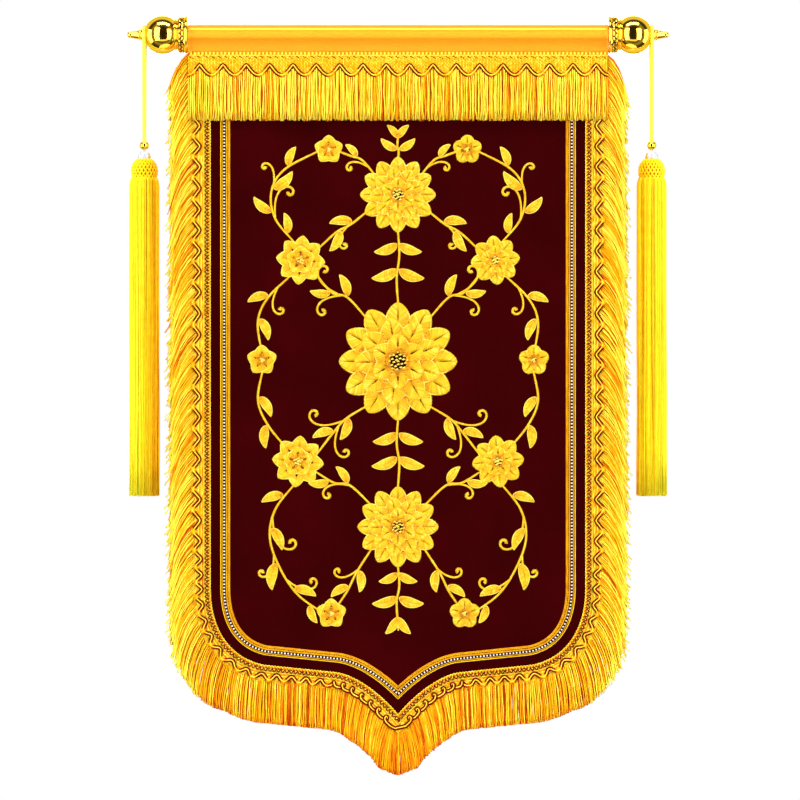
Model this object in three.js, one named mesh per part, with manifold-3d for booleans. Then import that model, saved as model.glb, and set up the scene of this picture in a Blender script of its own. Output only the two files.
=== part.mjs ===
// An embroidered honor banner on its hanging rod: a velvet panel with a pointed foot, trimmed all
// round with fringe, under a satin rod sleeve, with a gold finial and a long tassel at each end.
// Millimetres, +Z up. The banner's front faces -Y. The origin is the middle of the rod's axis.
import * as THREE from "three";
import { mergeVertices } from "three/addons/utils/BufferGeometryUtils.js";
import Module from "manifold-3d";

const wasm = await Module();
wasm.setup();

// Clearance between pieces that touch
const GAP = 0.3;

// Rod and the satin sleeve round it. The sleeve hangs down to a sewn line in front of the panel.
const ROD_RADIUS = 13.2;
const ROD_HALF_LENGTH = 339;
const SLEEVE_CLOTH = 1.5;
const SLEEVE_RADIUS = ROD_RADIUS + GAP + SLEEVE_CLOTH;
const SLEEVE_HALF_LENGTH = 314.6;
const SLEEVE_SEAM = { y: -2.55, z: -27 };
const SLEEVE_TAIL_HALF_WIDTH = 279;
const SLEEVE_TAIL_BOTTOM = -41;

// Layers from back to front: the velvet, the trims sewn on it, then the valance over both
const PANEL_BACK = 1;
const PANEL_FRONT = -1;
const TRIM_THICKNESS = 2.5;
const TRIM_BACK = PANEL_FRONT - GAP;
const TRIM_FRONT = TRIM_BACK - TRIM_THICKNESS;
const VALANCE_BACK = TRIM_FRONT - GAP;
const VALANCE_FRONT = VALANCE_BACK - TRIM_THICKNESS;

// The edge line, where the fringe heading meets the visible velvet. Half of it, from the point
// at the middle of the foot, over the arch and round the corner to the foot of the side.
const EDGE_HALF_WIDTH = 281;
const POINT = new THREE.Vector2(0, -1019);
const POINT_PULL = new THREE.Vector2(24, -990);
const ARCH_PULL = new THREE.Vector2(62, -960);
const ARCH = new THREE.Vector2(93, -956);
const CORNER_FOOT = new THREE.Vector2(201, -945);
const CORNER_FOOT_PULL = new THREE.Vector2(249, -935);
const CORNER_SIDE_PULL = new THREE.Vector2(EDGE_HALF_WIDTH, -896);
const SIDE_FOOT = new THREE.Vector2(EDGE_HALF_WIDTH, -830);
const FOOT_SAMPLES = 60;
const LINE_END = 0.0005;

// Velvet panel
const PANEL_TOP = -27.6;
const PANEL_UNDERLAP = 15;
const PANEL_FOOT_COLUMNS = 14;
const PANEL_ROWS = 18;

// Soft folds of the hanging velvet: a line from one end to the other, how far each spreads to
// its sides, and how far it stands forward (or back, below zero)
const FOLDS = [
  { x0: -244, z0: -150, x1: -170, z1: -470, spread: 34, rise: 4.5 },
  { x0: -232, z0: -420, x1: -215, z1: -600, spread: 30, rise: 3 },
  { x0: -160, z0: -340, x1: -112, z1: -470, spread: 26, rise: -3 },
  { x0: -140, z0: -150, x1: 30, z1: -255, spread: 36, rise: -3.5 },
  { x0: 232, z0: -150, x1: 122, z1: -420, spread: 40, rise: -4 },
  { x0: 235, z0: -560, x1: 120, z1: -800, spread: 36, rise: 3.5 },
  { x0: -170, z0: -700, x1: -45, z1: -840, spread: 34, rise: 3 },
];
const FOLD_HALF_WIDTH = 246;
const FOLD_TOP = -70;
const FOLD_FOOT_CLEARANCE = 70;
const FOLD_FADE = 70;

// Fringe heading and the fringe's locks along the sides and foot
const EDGE_TOP = -27.4;
const HEADING_WIDTH = 26;
const HEADING_STEPS = 16;
const LOCK_ROOT = 23;
const LOCK_TOP = EDGE_TOP - 8;
const LOCK_UNEVENNESS = 0.03;
const EDGE_LOCKS = 115;
const LOCK_STEPS = 3;
const LOCK_FILL = 0.56;
const LOCK_LEAN_START = 0.72;
const LOCK_LEAN_END = 0.1;
const POINT_FAN = 34;
const FRONT_LAYER = { base: TRIM_BACK - 1.35, ridge: TRIM_FRONT + 0.1, tip: 0.5 };
const BACK_LAYER = { base: TRIM_BACK - 1.05, ridge: TRIM_BACK + 1.7, tip: 0.5 };

// Lock length by distance from the middle of the foot
const LOCK_LENGTHS = [
  { x: 0, length: 54 },
  { x: 60, length: 60 },
  { x: 120, length: 64 },
  { x: 250, length: 67 },
  { x: EDGE_HALF_WIDTH, length: 70 },
];

// The waved cord on the edge heading: long waves down the sides, short ones round the foot
const SCROLL_OFFSET = 20.6;
const SCROLL_SWING = 5.2;
const SCROLL_WIDTH = 3.6;
const SCROLL_THICKNESS = 2.4;
const SCROLL_TOP = -118;
const SCROLL_SIDE_FOOT = -790;
const SIDE_WAVES = 21;
const FOOT_WAVES = 20;
const STEPS_PER_WAVE = 4;

// Narrow braid on the velvet, inside the edge line
const BRAID_OUTER = 14.5;
const BRAID_WIDTH = 15;
const BRAID_THICKNESS = 1.5;
const BRAID_TOP = -42;
const BRAID_STEPS = 18;

// Valance across the top
const VALANCE_HALF_WIDTH = 314.6;
const VALANCE_TOP = -25.8;
const VALANCE_HEADING_FOOT = -58;
const VALANCE_FOOT = -128.6;
const VALANCE_LOCKS = 60;
const VALANCE_LOCK_WIDTH = 9.9;
const VALANCE_UNEVENNESS = 2.5;
const VALANCE_WAVES = 18;
const VALANCE_WAVE_MIDDLE = -52.6;
const VALANCE_WAVE_SWING = 7.4;

// A valance lock's back, ridge and share of its width at each height. It leaves the heading behind
// the scroll cord and hangs in front of it.
const VALANCE_LOCK_SHAPE = [
  { z: VALANCE_HEADING_FOOT + 4, back: VALANCE_BACK - 0.3, ridge: VALANCE_FRONT + 0.2, width: 1 },
  { z: VALANCE_HEADING_FOOT - 7, back: VALANCE_BACK - 0.3, ridge: VALANCE_FRONT + 0.1, width: 1 },
  { z: VALANCE_HEADING_FOOT - 20, back: -6.9, ridge: -9.9, width: 1 },
  { z: VALANCE_FOOT, back: -7.4, ridge: -8.8, width: 0.72 },
];

// Finials: a ball between a spiked tip and a bell collar that takes the rod's end
const COLLAR_MOUTH = 315;
const SOCKET_END = ROD_HALF_LENGTH + GAP;
const SOCKET_RADIUS = ROD_RADIUS + GAP;
const BALL_RADIUS = 28.5;
const BALL_CENTRE = 353;
const BALL_NECK_RADIUS = 21.4;
const BALL_FRONT_RADIUS = 17;
const BALL_STEPS = 7;
const CORD_SEAT_RADIUS = 9.1;
const CORD_SEAT_INNER = 377.2;
const CORD_SEAT_OUTER = 384.6;
const FINIAL_SIDES = 18;
const COLLAR = [
  { r: SOCKET_RADIUS, along: COLLAR_MOUTH },
  { r: 26, along: COLLAR_MOUTH },
  { r: 27.8, along: 316.6 },
  { r: 27.8, along: 319.4 },
  { r: 26.3, along: 321 },
  { r: 26.2, along: 328 },
  { r: 22.4, along: 332.4 },
];
const SPIKE = [
  { r: 7.8, along: CORD_SEAT_OUTER },
  { r: 7.4, along: 390 },
  { r: 4.9, along: 399.5 },
  { r: 3.6, along: 404.6 },
  { r: 0, along: 406.4 },
];

// Cord loop over each finial's neck, down to the gold bead that closes it
const TASSEL_X = 380.4;
const CORD_RADIUS = 2.8;
const CORD_SIDES = 8;
const CORD_STEPS = 44;
const LOOP_RADIUS = CORD_SEAT_RADIUS + 2 * GAP + CORD_RADIUS;
const CORD_END = { y: 3.1, z: -163.2 };
const ROUND_SIDES = 12;

// Gold bead, with a mouth that takes both cord ends, and the white bead under it
const BEAD = [
  { r: 0, z: -172.4 },
  { r: 3.6, z: -172 },
  { r: 6.6, z: -169.2 },
  { r: 7.2, z: -166 },
  { r: 6.9, z: -162.6 },
  { r: 6.4, z: -160.4 },
  { r: 6.1, z: CORD_END.z - GAP },
  { r: 0, z: CORD_END.z - GAP },
];
const PEARL_RADIUS = 10.3;
const PEARL_CENTRE = BEAD[0].z - GAP - PEARL_RADIUS;

// Tassel: a domed head with a dimple for the white bead, and rings of straight strands
const HEAD_DIMPLE_RADIUS = 9;
const HEAD = [
  { r: 14.6, z: -188.6 },
  { r: 18.6, z: -193.6 },
  { r: 20.2, z: -201 },
  { r: 19.8, z: -208.6 },
  { r: 18.4, z: -213.6 },
  { r: 20.4, z: -215.4 },
  { r: 22.2, z: -220 },
  { r: 22.2, z: -226 },
];
const SKIRT_FOOT = -692;
const STRAND_ROOT = -222;
const STRAND_RINGS = [
  { count: 18, inner: 16.8, outer: 22.7 },
  { count: 11, inner: 10, outer: 16.3 },
  { count: 5, inner: 3, outer: 9.5 },
];
const STRAND_SPACE = 0.6;
const STRAND_UNEVENNESS = 2.2;

// Materials
const plain = (color, roughness) => new THREE.MeshStandardMaterial({ color, roughness });
const VELVET = plain(0x3e0606, 0.95);
const GOLD_THREAD = plain(0xf5c523, 0.6);
const GOLD_BRAID = plain(0xd59a08, 0.55);
const SATIN = plain(0xfdc80a, 0.35);
const LEMON_THREAD = plain(0xf2e020, 0.6);
const PEARL_WHITE = plain(0xf4f2ee, 0.2);
const ALUMINIUM = new THREE.MeshStandardMaterial({ color: 0xb8b8b8, roughness: 0.4, metalness: 1 });
const POLISHED_GOLD = new THREE.MeshStandardMaterial({
  color: 0xe0a82a,
  roughness: 0.12,
  metalness: 1,
});

const lerp = THREE.MathUtils.lerp;
const smooth = THREE.MathUtils.smoothstep;

// Geometry helpers

// Turns a closed mesh's faces outwards.
function facingOut(positions, faces) {
  const [a, b, c] = [new THREE.Vector3(), new THREE.Vector3(), new THREE.Vector3()];
  let volume = 0;
  for (const [i, j, k] of faces) {
    volume += a.copy(positions[i]).dot(b.copy(positions[j]).cross(c.copy(positions[k])));
  }
  const turned = volume < 0 ? faces.map(([i, j, k]) => [i, k, j]) : faces;
  const geometry = new THREE.BufferGeometry().setFromPoints(positions);
  geometry.setIndex(turned.flat());
  return geometry;
}

// A closed solid through a row of rings, each a convex outline with the same number of points.
function loft(rings) {
  const sides = rings[0].length;
  const positions = rings.flat();
  const faces = [];
  for (let ring = 0; ring + 1 < rings.length; ring++) {
    for (let side = 0; side < sides; side++) {
      const a = ring * sides + side;
      const b = ring * sides + ((side + 1) % sides);
      faces.push([a, b, b + sides], [a, b + sides, a + sides]);
    }
  }
  const last = (rings.length - 1) * sides;
  for (let side = 1; side + 1 < sides; side++) {
    faces.push([0, side + 1, side], [last, last + side, last + side + 1]);
  }
  return facingOut(positions, faces);
}

// A closed solid of revolution about Z. Its profile starts and ends on the axis.
function turned(profile, sides) {
  const points = profile.map(({ r, z }) => new THREE.Vector2(r, z));
  const geometry = new THREE.LatheGeometry(points, sides);
  geometry.rotateX(Math.PI / 2);
  return geometry;
}

// A solid that can be joined or cut, from a closed geometry.
function solid(geometry) {
  const bare = geometry.clone();
  bare.deleteAttribute("normal");
  bare.deleteAttribute("uv");
  const merged = mergeVertices(bare, 1e-4);
  return new wasm.Manifold(
    new wasm.Mesh({
      numProp: 3,
      vertProperties: merged.attributes.position.array,
      triVerts: new Uint32Array(merged.index.array),
    }),
  );
}

// One geometry from several closed ones that overlap.
function joined(geometries) {
  const mesh = geometries
    .map(solid)
    .reduce((whole, piece) => whole.add(piece))
    .getMesh();
  const geometry = new THREE.BufferGeometry();
  geometry.setAttribute("position", new THREE.BufferAttribute(mesh.vertProperties, 3));
  geometry.setIndex(new THREE.BufferAttribute(mesh.triVerts, 1));
  return geometry;
}

// An uneven number from -1 to 1, the same each time for the same place in a row.
function uneven(index, salt) {
  return Math.sin(index * 12.9898 + salt * 78.233) * Math.cos(index * 4.1414 + salt);
}

// Edge line helpers

const FOOT = new THREE.CurvePath();
FOOT.add(new THREE.CubicBezierCurve(POINT, POINT_PULL, ARCH_PULL, ARCH));
FOOT.add(new THREE.LineCurve(ARCH, CORNER_FOOT));
FOOT.add(new THREE.CubicBezierCurve(CORNER_FOOT, CORNER_FOOT_PULL, CORNER_SIDE_PULL, SIDE_FOOT));

// Half of the foot's line, moved outwards by a distance, from the middle to the side's foot.
function offsetFoot(distance) {
  const points = [];
  for (let i = 0; i <= FOOT_SAMPLES; i++) {
    const at = FOOT.getPointAt(i / FOOT_SAMPLES);
    const along = FOOT.getTangentAt(i / FOOT_SAMPLES);
    points.push(new THREE.Vector2(at.x + distance * along.y, at.y - distance * along.x));
  }
  while (points[1].x < 0) points.shift();
  const slope = (points[1].y - points[0].y) / (points[1].x - points[0].x);
  const middle = new THREE.Vector2(0, points[0].y - points[0].x * slope);
  if (points[0].x < 0) points[0] = middle;
  if (points[0].x > 0) points.unshift(middle);
  return points;
}

// The same with the straight side added, up to a height.
function offsetEdge(distance, top) {
  return new THREE.Path([
    ...offsetFoot(distance),
    new THREE.Vector2(EDGE_HALF_WIDTH + distance, top),
  ]);
}

// The direction of a line at a share of its length, read just inside its ends.
function directionAt(line, share) {
  return line.getTangent(THREE.MathUtils.clamp(share, LINE_END, 1 - LINE_END));
}

// Evenly spaced points along the offset foot.
function footPoints(distance, steps) {
  return new THREE.Path(offsetFoot(distance)).getSpacedPoints(steps);
}

// A flat tape that follows the edge line from the top of one side round to the other.
function tape({ inner, outer, back, front, top, steps }) {
  const ends = (distance) => new THREE.Vector2(EDGE_HALF_WIDTH + distance, top);
  const innerLine = [...footPoints(inner, steps), ends(inner)];
  const outerLine = [...footPoints(outer, steps), ends(outer)];
  const ring = (index, side) => [
    new THREE.Vector3(side * innerLine[index].x, back, innerLine[index].y),
    new THREE.Vector3(side * outerLine[index].x, back, outerLine[index].y),
    new THREE.Vector3(side * outerLine[index].x, front, outerLine[index].y),
    new THREE.Vector3(side * innerLine[index].x, front, innerLine[index].y),
  ];
  const rings = [];
  for (let index = steps + 1; index > 0; index--) rings.push(ring(index, -1));
  for (let index = 0; index <= steps + 1; index++) rings.push(ring(index, 1));
  return loft(rings);
}

// Rod, sleeve and finials

function rod() {
  const geometry = new THREE.CylinderGeometry(
    ROD_RADIUS,
    ROD_RADIUS,
    2 * ROD_HALF_LENGTH,
    FINIAL_SIDES,
  );
  return geometry.rotateZ(Math.PI / 2);
}

// A drop-shaped outline round the rod that ends in a point towards the seam.
function drop(radius, reach) {
  const down = Math.atan2(SLEEVE_SEAM.z, SLEEVE_SEAM.y);
  const open = Math.acos(radius / reach);
  const shape = new THREE.Path();
  shape.absarc(0, 0, radius, down + open, down - open + 2 * Math.PI, false);
  shape.lineTo(reach * Math.cos(down), reach * Math.sin(down));
  shape.closePath();
  return shape;
}

function rodSleeve() {
  const reach = Math.hypot(SLEEVE_SEAM.y, SLEEVE_SEAM.z);
  const innerRadius = SLEEVE_RADIUS - SLEEVE_CLOTH;
  const outline = new THREE.Shape(drop(SLEEVE_RADIUS, reach).getPoints(16));
  outline.holes.push(drop(innerRadius, (reach * innerRadius) / SLEEVE_RADIUS));
  const tube = new THREE.ExtrudeGeometry(outline, {
    depth: 2 * SLEEVE_HALF_LENGTH,
    bevelEnabled: false,
    curveSegments: 16,
  });
  tube.translate(0, 0, -SLEEVE_HALF_LENGTH);
  // the drawing's x and y become the banner's y and z
  tube.applyMatrix4(new THREE.Matrix4().makeBasis(
    new THREE.Vector3(0, 1, 0),
    new THREE.Vector3(0, 0, 1),
    new THREE.Vector3(1, 0, 0),
  ));
  const tailTop = SLEEVE_SEAM.z + 2 * SLEEVE_CLOTH;
  const tail = new THREE.BoxGeometry(
    2 * SLEEVE_TAIL_HALF_WIDTH,
    TRIM_THICKNESS,
    tailTop - SLEEVE_TAIL_BOTTOM,
  );
  tail.translate(0, (TRIM_BACK + TRIM_FRONT) / 2, (tailTop + SLEEVE_TAIL_BOTTOM) / 2);
  return joined([tube, tail]);
}

function finial(side) {
  const profile = [
    { r: 0, along: SOCKET_END },
    { r: SOCKET_RADIUS, along: SOCKET_END },
    ...COLLAR,
  ];
  const neckAngle = Math.PI - Math.asin(BALL_NECK_RADIUS / BALL_RADIUS);
  const frontAngle = Math.asin(BALL_FRONT_RADIUS / BALL_RADIUS);
  for (let i = 0; i <= BALL_STEPS; i++) {
    const angle = lerp(neckAngle, frontAngle, i / BALL_STEPS);
    profile.push({
      r: BALL_RADIUS * Math.sin(angle),
      along: BALL_CENTRE + BALL_RADIUS * Math.cos(angle),
    });
  }
  profile.push({ r: CORD_SEAT_RADIUS, along: CORD_SEAT_INNER });
  profile.push({ r: CORD_SEAT_RADIUS, along: CORD_SEAT_OUTER });
  profile.push(...SPIKE);
  const points = profile.map(({ r, along }) => new THREE.Vector2(r, along));
  return new THREE.LatheGeometry(points, FINIAL_SIDES).rotateZ((-side * Math.PI) / 2);
}

// Velvet panel

// How far the hanging velvet stands forward at a place.
function foldRise(x, z, foot) {
  const sides = 1 - smooth(Math.abs(x), FOLD_HALF_WIDTH - FOLD_FADE, FOLD_HALF_WIDTH);
  const upper = 1 - smooth(z, FOLD_TOP - FOLD_FADE, FOLD_TOP);
  const lower = smooth(z, foot + FOLD_FOOT_CLEARANCE, foot + FOLD_FOOT_CLEARANCE + FOLD_FADE);
  const here = new THREE.Vector3(x, 0, z);
  const nearest = new THREE.Vector3();
  let rise = 0;
  for (const fold of FOLDS) {
    const line = new THREE.Line3(
      new THREE.Vector3(fold.x0, 0, fold.z0),
      new THREE.Vector3(fold.x1, 0, fold.z1),
    );
    line.closestPointToPoint(here, true, nearest);
    rise += fold.rise * Math.exp(-((here.distanceTo(nearest) / fold.spread) ** 2));
  }
  return rise * sides * upper * lower;
}

function panel() {
  const half = footPoints(PANEL_UNDERLAP, PANEL_FOOT_COLUMNS);
  const columns = [
    ...half.slice(1).reverse().map((point) => new THREE.Vector2(-point.x, point.y)),
    ...half,
  ];
  const positions = [];
  for (const face of [PANEL_FRONT, PANEL_BACK]) {
    for (const { x, y: foot } of columns) {
      for (let row = 0; row <= PANEL_ROWS; row++) {
        const z = lerp(PANEL_TOP, foot, row / PANEL_ROWS);
        positions.push(new THREE.Vector3(x, face - foldRise(x, z, foot), z));
      }
    }
  }
  const rows = PANEL_ROWS + 1;
  const back = columns.length * rows;
  const faces = [];
  const quad = (a, b, c, d) => faces.push([a, b, c], [a, c, d]);
  for (let column = 0; column + 1 < columns.length; column++) {
    const here = column * rows;
    const next = here + rows;
    for (let row = 0; row < PANEL_ROWS; row++) {
      quad(here + row, here + row + 1, next + row + 1, next + row);
      quad(back + here + row, back + next + row, back + next + row + 1, back + here + row + 1);
    }
    quad(here, next, back + next, back + here);
    quad(here + PANEL_ROWS, back + here + PANEL_ROWS, back + next + PANEL_ROWS, next + PANEL_ROWS);
  }
  const last = (columns.length - 1) * rows;
  for (let row = 0; row < PANEL_ROWS; row++) {
    quad(row, back + row, back + row + 1, row + 1);
    quad(last + row, last + row + 1, back + last + row + 1, back + last + row);
  }
  return facingOut(positions, faces);
}

// Edge fringe

// Lock length at a distance from the middle.
function lockLength(x) {
  const next = LOCK_LENGTHS.findIndex((row) => row.x >= x);
  if (next <= 0) return LOCK_LENGTHS.at(next).length;
  const [low, high] = [LOCK_LENGTHS[next - 1], LOCK_LENGTHS[next]];
  return lerp(low.length, high.length, (x - low.x) / (high.x - low.x));
}

// Middle lines of the edge locks, from one top corner round to the other. Each leaves the
// heading outwards and bends down under its own weight.
function lockLines() {
  const root = offsetEdge(LOCK_ROOT, LOCK_TOP);
  const halfLength = root.getLength();
  const lines = [];
  for (let lock = 0; lock < EDGE_LOCKS; lock++) {
    const along = (2 * (lock + 0.5)) / EDGE_LOCKS - 1;
    const side = Math.sign(along);
    const at = root.getPoint(Math.abs(along));
    const ahead = directionAt(root, Math.abs(along));
    const fan = smooth(Math.abs(along) * halfLength, 0, POINT_FAN);
    const outwards = Math.atan2(ahead.y, ahead.x) * fan;
    const length = lockLength(at.x) * (1 + LOCK_UNEVENNESS * uneven(lock, 1));
    const line = [new THREE.Vector2(side * at.x, at.y)];
    for (let step = 0; step < LOCK_STEPS; step++) {
      const share = (step + 0.5) / LOCK_STEPS;
      const lean = outwards * lerp(LOCK_LEAN_START, LOCK_LEAN_END, share);
      const end = line.at(-1).clone();
      end.x += ((side * length) / LOCK_STEPS) * Math.sin(lean);
      end.y -= (length / LOCK_STEPS) * Math.cos(lean);
      line.push(end);
    }
    lines.push(line);
  }
  return lines;
}

// One lock: three-sided, flat on one face, as wide as its neighbours in its layer leave room for.
function edgeLock(lines, index, layer) {
  const line = lines[index];
  const before = lines[Math.max(index - 1, 0)];
  const after = lines[Math.min(index + 1, lines.length - 1)];
  const rings = line.map((at, step) => {
    const toward = line[Math.min(step + 1, LOCK_STEPS)].clone();
    toward.sub(line[Math.max(step - 1, 0)]).normalize();
    const across = new THREE.Vector2(toward.y, -toward.x);
    const room = Math.abs(after[step].clone().sub(before[step]).dot(across));
    const neighbours = index > 0 && index + 1 < lines.length ? 2 : 1;
    const halfWidth = (LOCK_FILL * room) / neighbours;
    const taper = step === LOCK_STEPS ? layer.tip : 1;
    const point = (shift, y) =>
      new THREE.Vector3(at.x + across.x * shift, y, at.y + across.y * shift);
    return [
      point(-halfWidth * taper, layer.base),
      point(halfWidth * taper, layer.base),
      point(0, lerp(layer.base, layer.ridge, taper)),
    ];
  });
  return loft(rings);
}

function edgeFringe() {
  const heading = tape({
    inner: 0,
    outer: HEADING_WIDTH,
    back: TRIM_BACK,
    front: TRIM_FRONT,
    top: EDGE_TOP,
    steps: HEADING_STEPS,
  });
  const lines = lockLines();
  const locks = lines.map((_, index) =>
    edgeLock(lines, index, index % 2 ? FRONT_LAYER : BACK_LAYER));
  return joined([heading, ...locks]);
}

// Scroll cords

// A flat-lying cord, three-sided with its ridge in front, through points of the banner's plane.
function flatCord(points, back) {
  const rings = points.map((at, index) => {
    const ahead = points[Math.min(index + 1, points.length - 1)].clone();
    ahead.sub(points[Math.max(index - 1, 0)]).normalize();
    const across = new THREE.Vector2(ahead.y, -ahead.x).multiplyScalar(SCROLL_WIDTH / 2);
    return [
      new THREE.Vector3(at.x + across.x, back, at.y + across.y),
      new THREE.Vector3(at.x, back - SCROLL_THICKNESS, at.y),
      new THREE.Vector3(at.x - across.x, back, at.y - across.y),
    ];
  });
  return loft(rings);
}

function edgeScrollCord() {
  const edge = offsetEdge(SCROLL_OFFSET, SCROLL_TOP);
  const length = edge.getLength();
  const footShare = 1 - (SCROLL_TOP - SCROLL_SIDE_FOOT) / length;
  const half = [];
  const steps = (FOOT_WAVES + SIDE_WAVES) * STEPS_PER_WAVE;
  for (let step = 0; step <= steps; step++) {
    const wave = step / STEPS_PER_WAVE;
    const share = wave < FOOT_WAVES
      ? (wave / FOOT_WAVES) * footShare
      : lerp(footShare, 1, (wave - FOOT_WAVES) / SIDE_WAVES);
    const at = edge.getPoint(share);
    const ahead = directionAt(edge, share);
    const outwards = step === 0 ? new THREE.Vector2(0, -1) : new THREE.Vector2(ahead.y, -ahead.x);
    const swing = SCROLL_SWING * Math.cos(2 * Math.PI * wave);
    half.push(at.clone().addScaledVector(outwards, swing));
  }
  const mirrored = half.slice(1).reverse().map((at) => new THREE.Vector2(-at.x, at.y));
  return flatCord([...mirrored, ...half], TRIM_FRONT - GAP);
}

function valanceScrollCord() {
  const points = [];
  const steps = VALANCE_WAVES * STEPS_PER_WAVE;
  const reach = VALANCE_HALF_WIDTH - SCROLL_WIDTH;
  for (let step = 0; step <= steps; step++) {
    const swing = VALANCE_WAVE_SWING * Math.cos((2 * Math.PI * step) / STEPS_PER_WAVE);
    points.push(new THREE.Vector2(
      lerp(-reach, reach, step / steps),
      VALANCE_WAVE_MIDDLE + swing,
    ));
  }
  return flatCord(points, VALANCE_FRONT - GAP);
}

// Inner braid

function innerBraid() {
  return tape({
    inner: -BRAID_OUTER - BRAID_WIDTH,
    outer: -BRAID_OUTER,
    back: TRIM_BACK,
    front: TRIM_BACK - BRAID_THICKNESS,
    top: BRAID_TOP,
    steps: BRAID_STEPS,
  });
}

// Valance

// One lock of the valance, cut a little longer or shorter than its neighbours.
function valanceLock(index) {
  const pitch = (2 * VALANCE_HALF_WIDTH) / VALANCE_LOCKS;
  const x = -VALANCE_HALF_WIDTH + (index + 0.5) * pitch;
  const trim = VALANCE_UNEVENNESS * (1 + uneven(index, 3));
  return loft(VALANCE_LOCK_SHAPE.map(({ z, back, ridge, width }) => {
    const halfWidth = (VALANCE_LOCK_WIDTH * width) / 2;
    const height = z === VALANCE_FOOT ? z + trim : z;
    return [
      new THREE.Vector3(x - halfWidth, back, height),
      new THREE.Vector3(x + halfWidth, back, height),
      new THREE.Vector3(x, ridge, height),
    ];
  }));
}

function valanceFringe() {
  const heading = new THREE.BoxGeometry(
    2 * VALANCE_HALF_WIDTH,
    TRIM_THICKNESS,
    VALANCE_TOP - VALANCE_HEADING_FOOT,
  );
  heading.translate(
    0,
    (VALANCE_BACK + VALANCE_FRONT) / 2,
    (VALANCE_TOP + VALANCE_HEADING_FOOT) / 2,
  );
  const locks = [];
  for (let index = 0; index < VALANCE_LOCKS; index++) locks.push(valanceLock(index));
  return joined([heading, ...locks]);
}

// Tassels

function cordLoop(side) {
  const x = side * TASSEL_X;
  const section = new THREE.Shape();
  section.absarc(0, 0, CORD_RADIUS, 0, 2 * Math.PI);
  const route = new THREE.CatmullRomCurve3([
    new THREE.Vector3(x, CORD_END.y, CORD_END.z),
    new THREE.Vector3(x, 3.3, -155),
    new THREE.Vector3(x, 4.5, -134),
    new THREE.Vector3(x, 6.2, -103),
    new THREE.Vector3(x, 7.9, -72),
    new THREE.Vector3(x, 9.6, -41),
    new THREE.Vector3(x, 11.1, -14),
    new THREE.Vector3(x, LOOP_RADIUS, 0),
    new THREE.Vector3(x, 8.9, 8.9),
    new THREE.Vector3(x, 0, LOOP_RADIUS),
    new THREE.Vector3(x, -8.9, 8.9),
    new THREE.Vector3(x, -LOOP_RADIUS, 0),
    new THREE.Vector3(x, -11.1, -14),
    new THREE.Vector3(x, -9.6, -41),
    new THREE.Vector3(x, -7.9, -72),
    new THREE.Vector3(x, -6.2, -103),
    new THREE.Vector3(x, -4.5, -134),
    new THREE.Vector3(x, -3.3, -155),
    new THREE.Vector3(x, -CORD_END.y, CORD_END.z),
  ]);
  return new THREE.ExtrudeGeometry(section, {
    steps: CORD_STEPS,
    extrudePath: route,
    curveSegments: CORD_SIDES / 2,
  });
}

function bead(side) {
  return turned(BEAD, ROUND_SIDES).translate(side * TASSEL_X, 0, 0);
}

function pearl(side) {
  const geometry = new THREE.SphereGeometry(PEARL_RADIUS, ROUND_SIDES, ROUND_SIDES / 2);
  return geometry.rotateX(Math.PI / 2).translate(side * TASSEL_X, 0, PEARL_CENTRE);
}

// One strand of the skirt: a wedge of its ring, square with its neighbours.
function strand({ count, inner, outer }, index) {
  const angle = (2 * Math.PI * index) / count;
  const foot = SKIRT_FOOT + STRAND_UNEVENNESS * uneven(index, count);
  const corner = (radius, hand, z) => {
    const half = radius * Math.tan(Math.PI / count) - STRAND_SPACE / 2;
    const around = new THREE.Vector3(radius, hand * half, z);
    return around.applyAxisAngle(new THREE.Vector3(0, 0, 1), angle);
  };
  return loft([STRAND_ROOT, foot].map((z) => [
    corner(inner, -1, z),
    corner(outer, -1, z),
    corner(outer, 1, z),
    corner(inner, 1, z),
  ]));
}

function tassel(side) {
  const dimple = PEARL_RADIUS + GAP;
  const profile = [];
  for (let i = 0; i <= 3; i++) {
    const angle = (i / 3) * Math.asin(HEAD_DIMPLE_RADIUS / dimple);
    profile.push({
      r: dimple * Math.sin(angle),
      z: PEARL_CENTRE - dimple * Math.cos(angle),
    });
  }
  profile.push(...HEAD, { r: 0, z: HEAD.at(-1).z });
  const head = turned(profile.reverse(), ROUND_SIDES);
  const strands = STRAND_RINGS.flatMap((ring) =>
    Array.from({ length: ring.count }, (_, index) => strand(ring, index)));
  return joined([head, ...strands]).translate(side * TASSEL_X, 0, 0);
}

// The banner

const banner = new THREE.Group();

function add(name, geometry, material) {
  const mesh = new THREE.Mesh(geometry, material);
  mesh.name = name;
  banner.add(mesh);
}

add("rod", rod(), ALUMINIUM);
add("rod_sleeve", rodSleeve(), SATIN);
add("panel", panel(), VELVET);
add("edge_fringe", edgeFringe(), GOLD_THREAD);
add("edge_scroll_cord", edgeScrollCord(), GOLD_THREAD);
add("inner_braid", innerBraid(), GOLD_BRAID);
add("valance_fringe", valanceFringe(), GOLD_THREAD);
add("valance_scroll_cord", valanceScrollCord(), GOLD_THREAD);
for (const [hand, side] of [["left", -1], ["right", 1]]) {
  add(`finial_${hand}`, finial(side), POLISHED_GOLD);
  add(`cord_${hand}`, cordLoop(side), LEMON_THREAD);
  add(`bead_${hand}`, bead(side), POLISHED_GOLD);
  add(`pearl_${hand}`, pearl(side), PEARL_WHITE);
  add(`tassel_${hand}`, tassel(side), LEMON_THREAD);
}

export default banner;
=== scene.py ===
"""Dresses the embroidered honor banner: threads, braids, stitches and materials round its frame.

Sizes are in millimetres, in the part's own frame (+Z up, front towards -Y), and every mesh is
written in metres. Tones run from 0 for a thread's deepest shade to 1 for its brightest.
"""
import math

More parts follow.
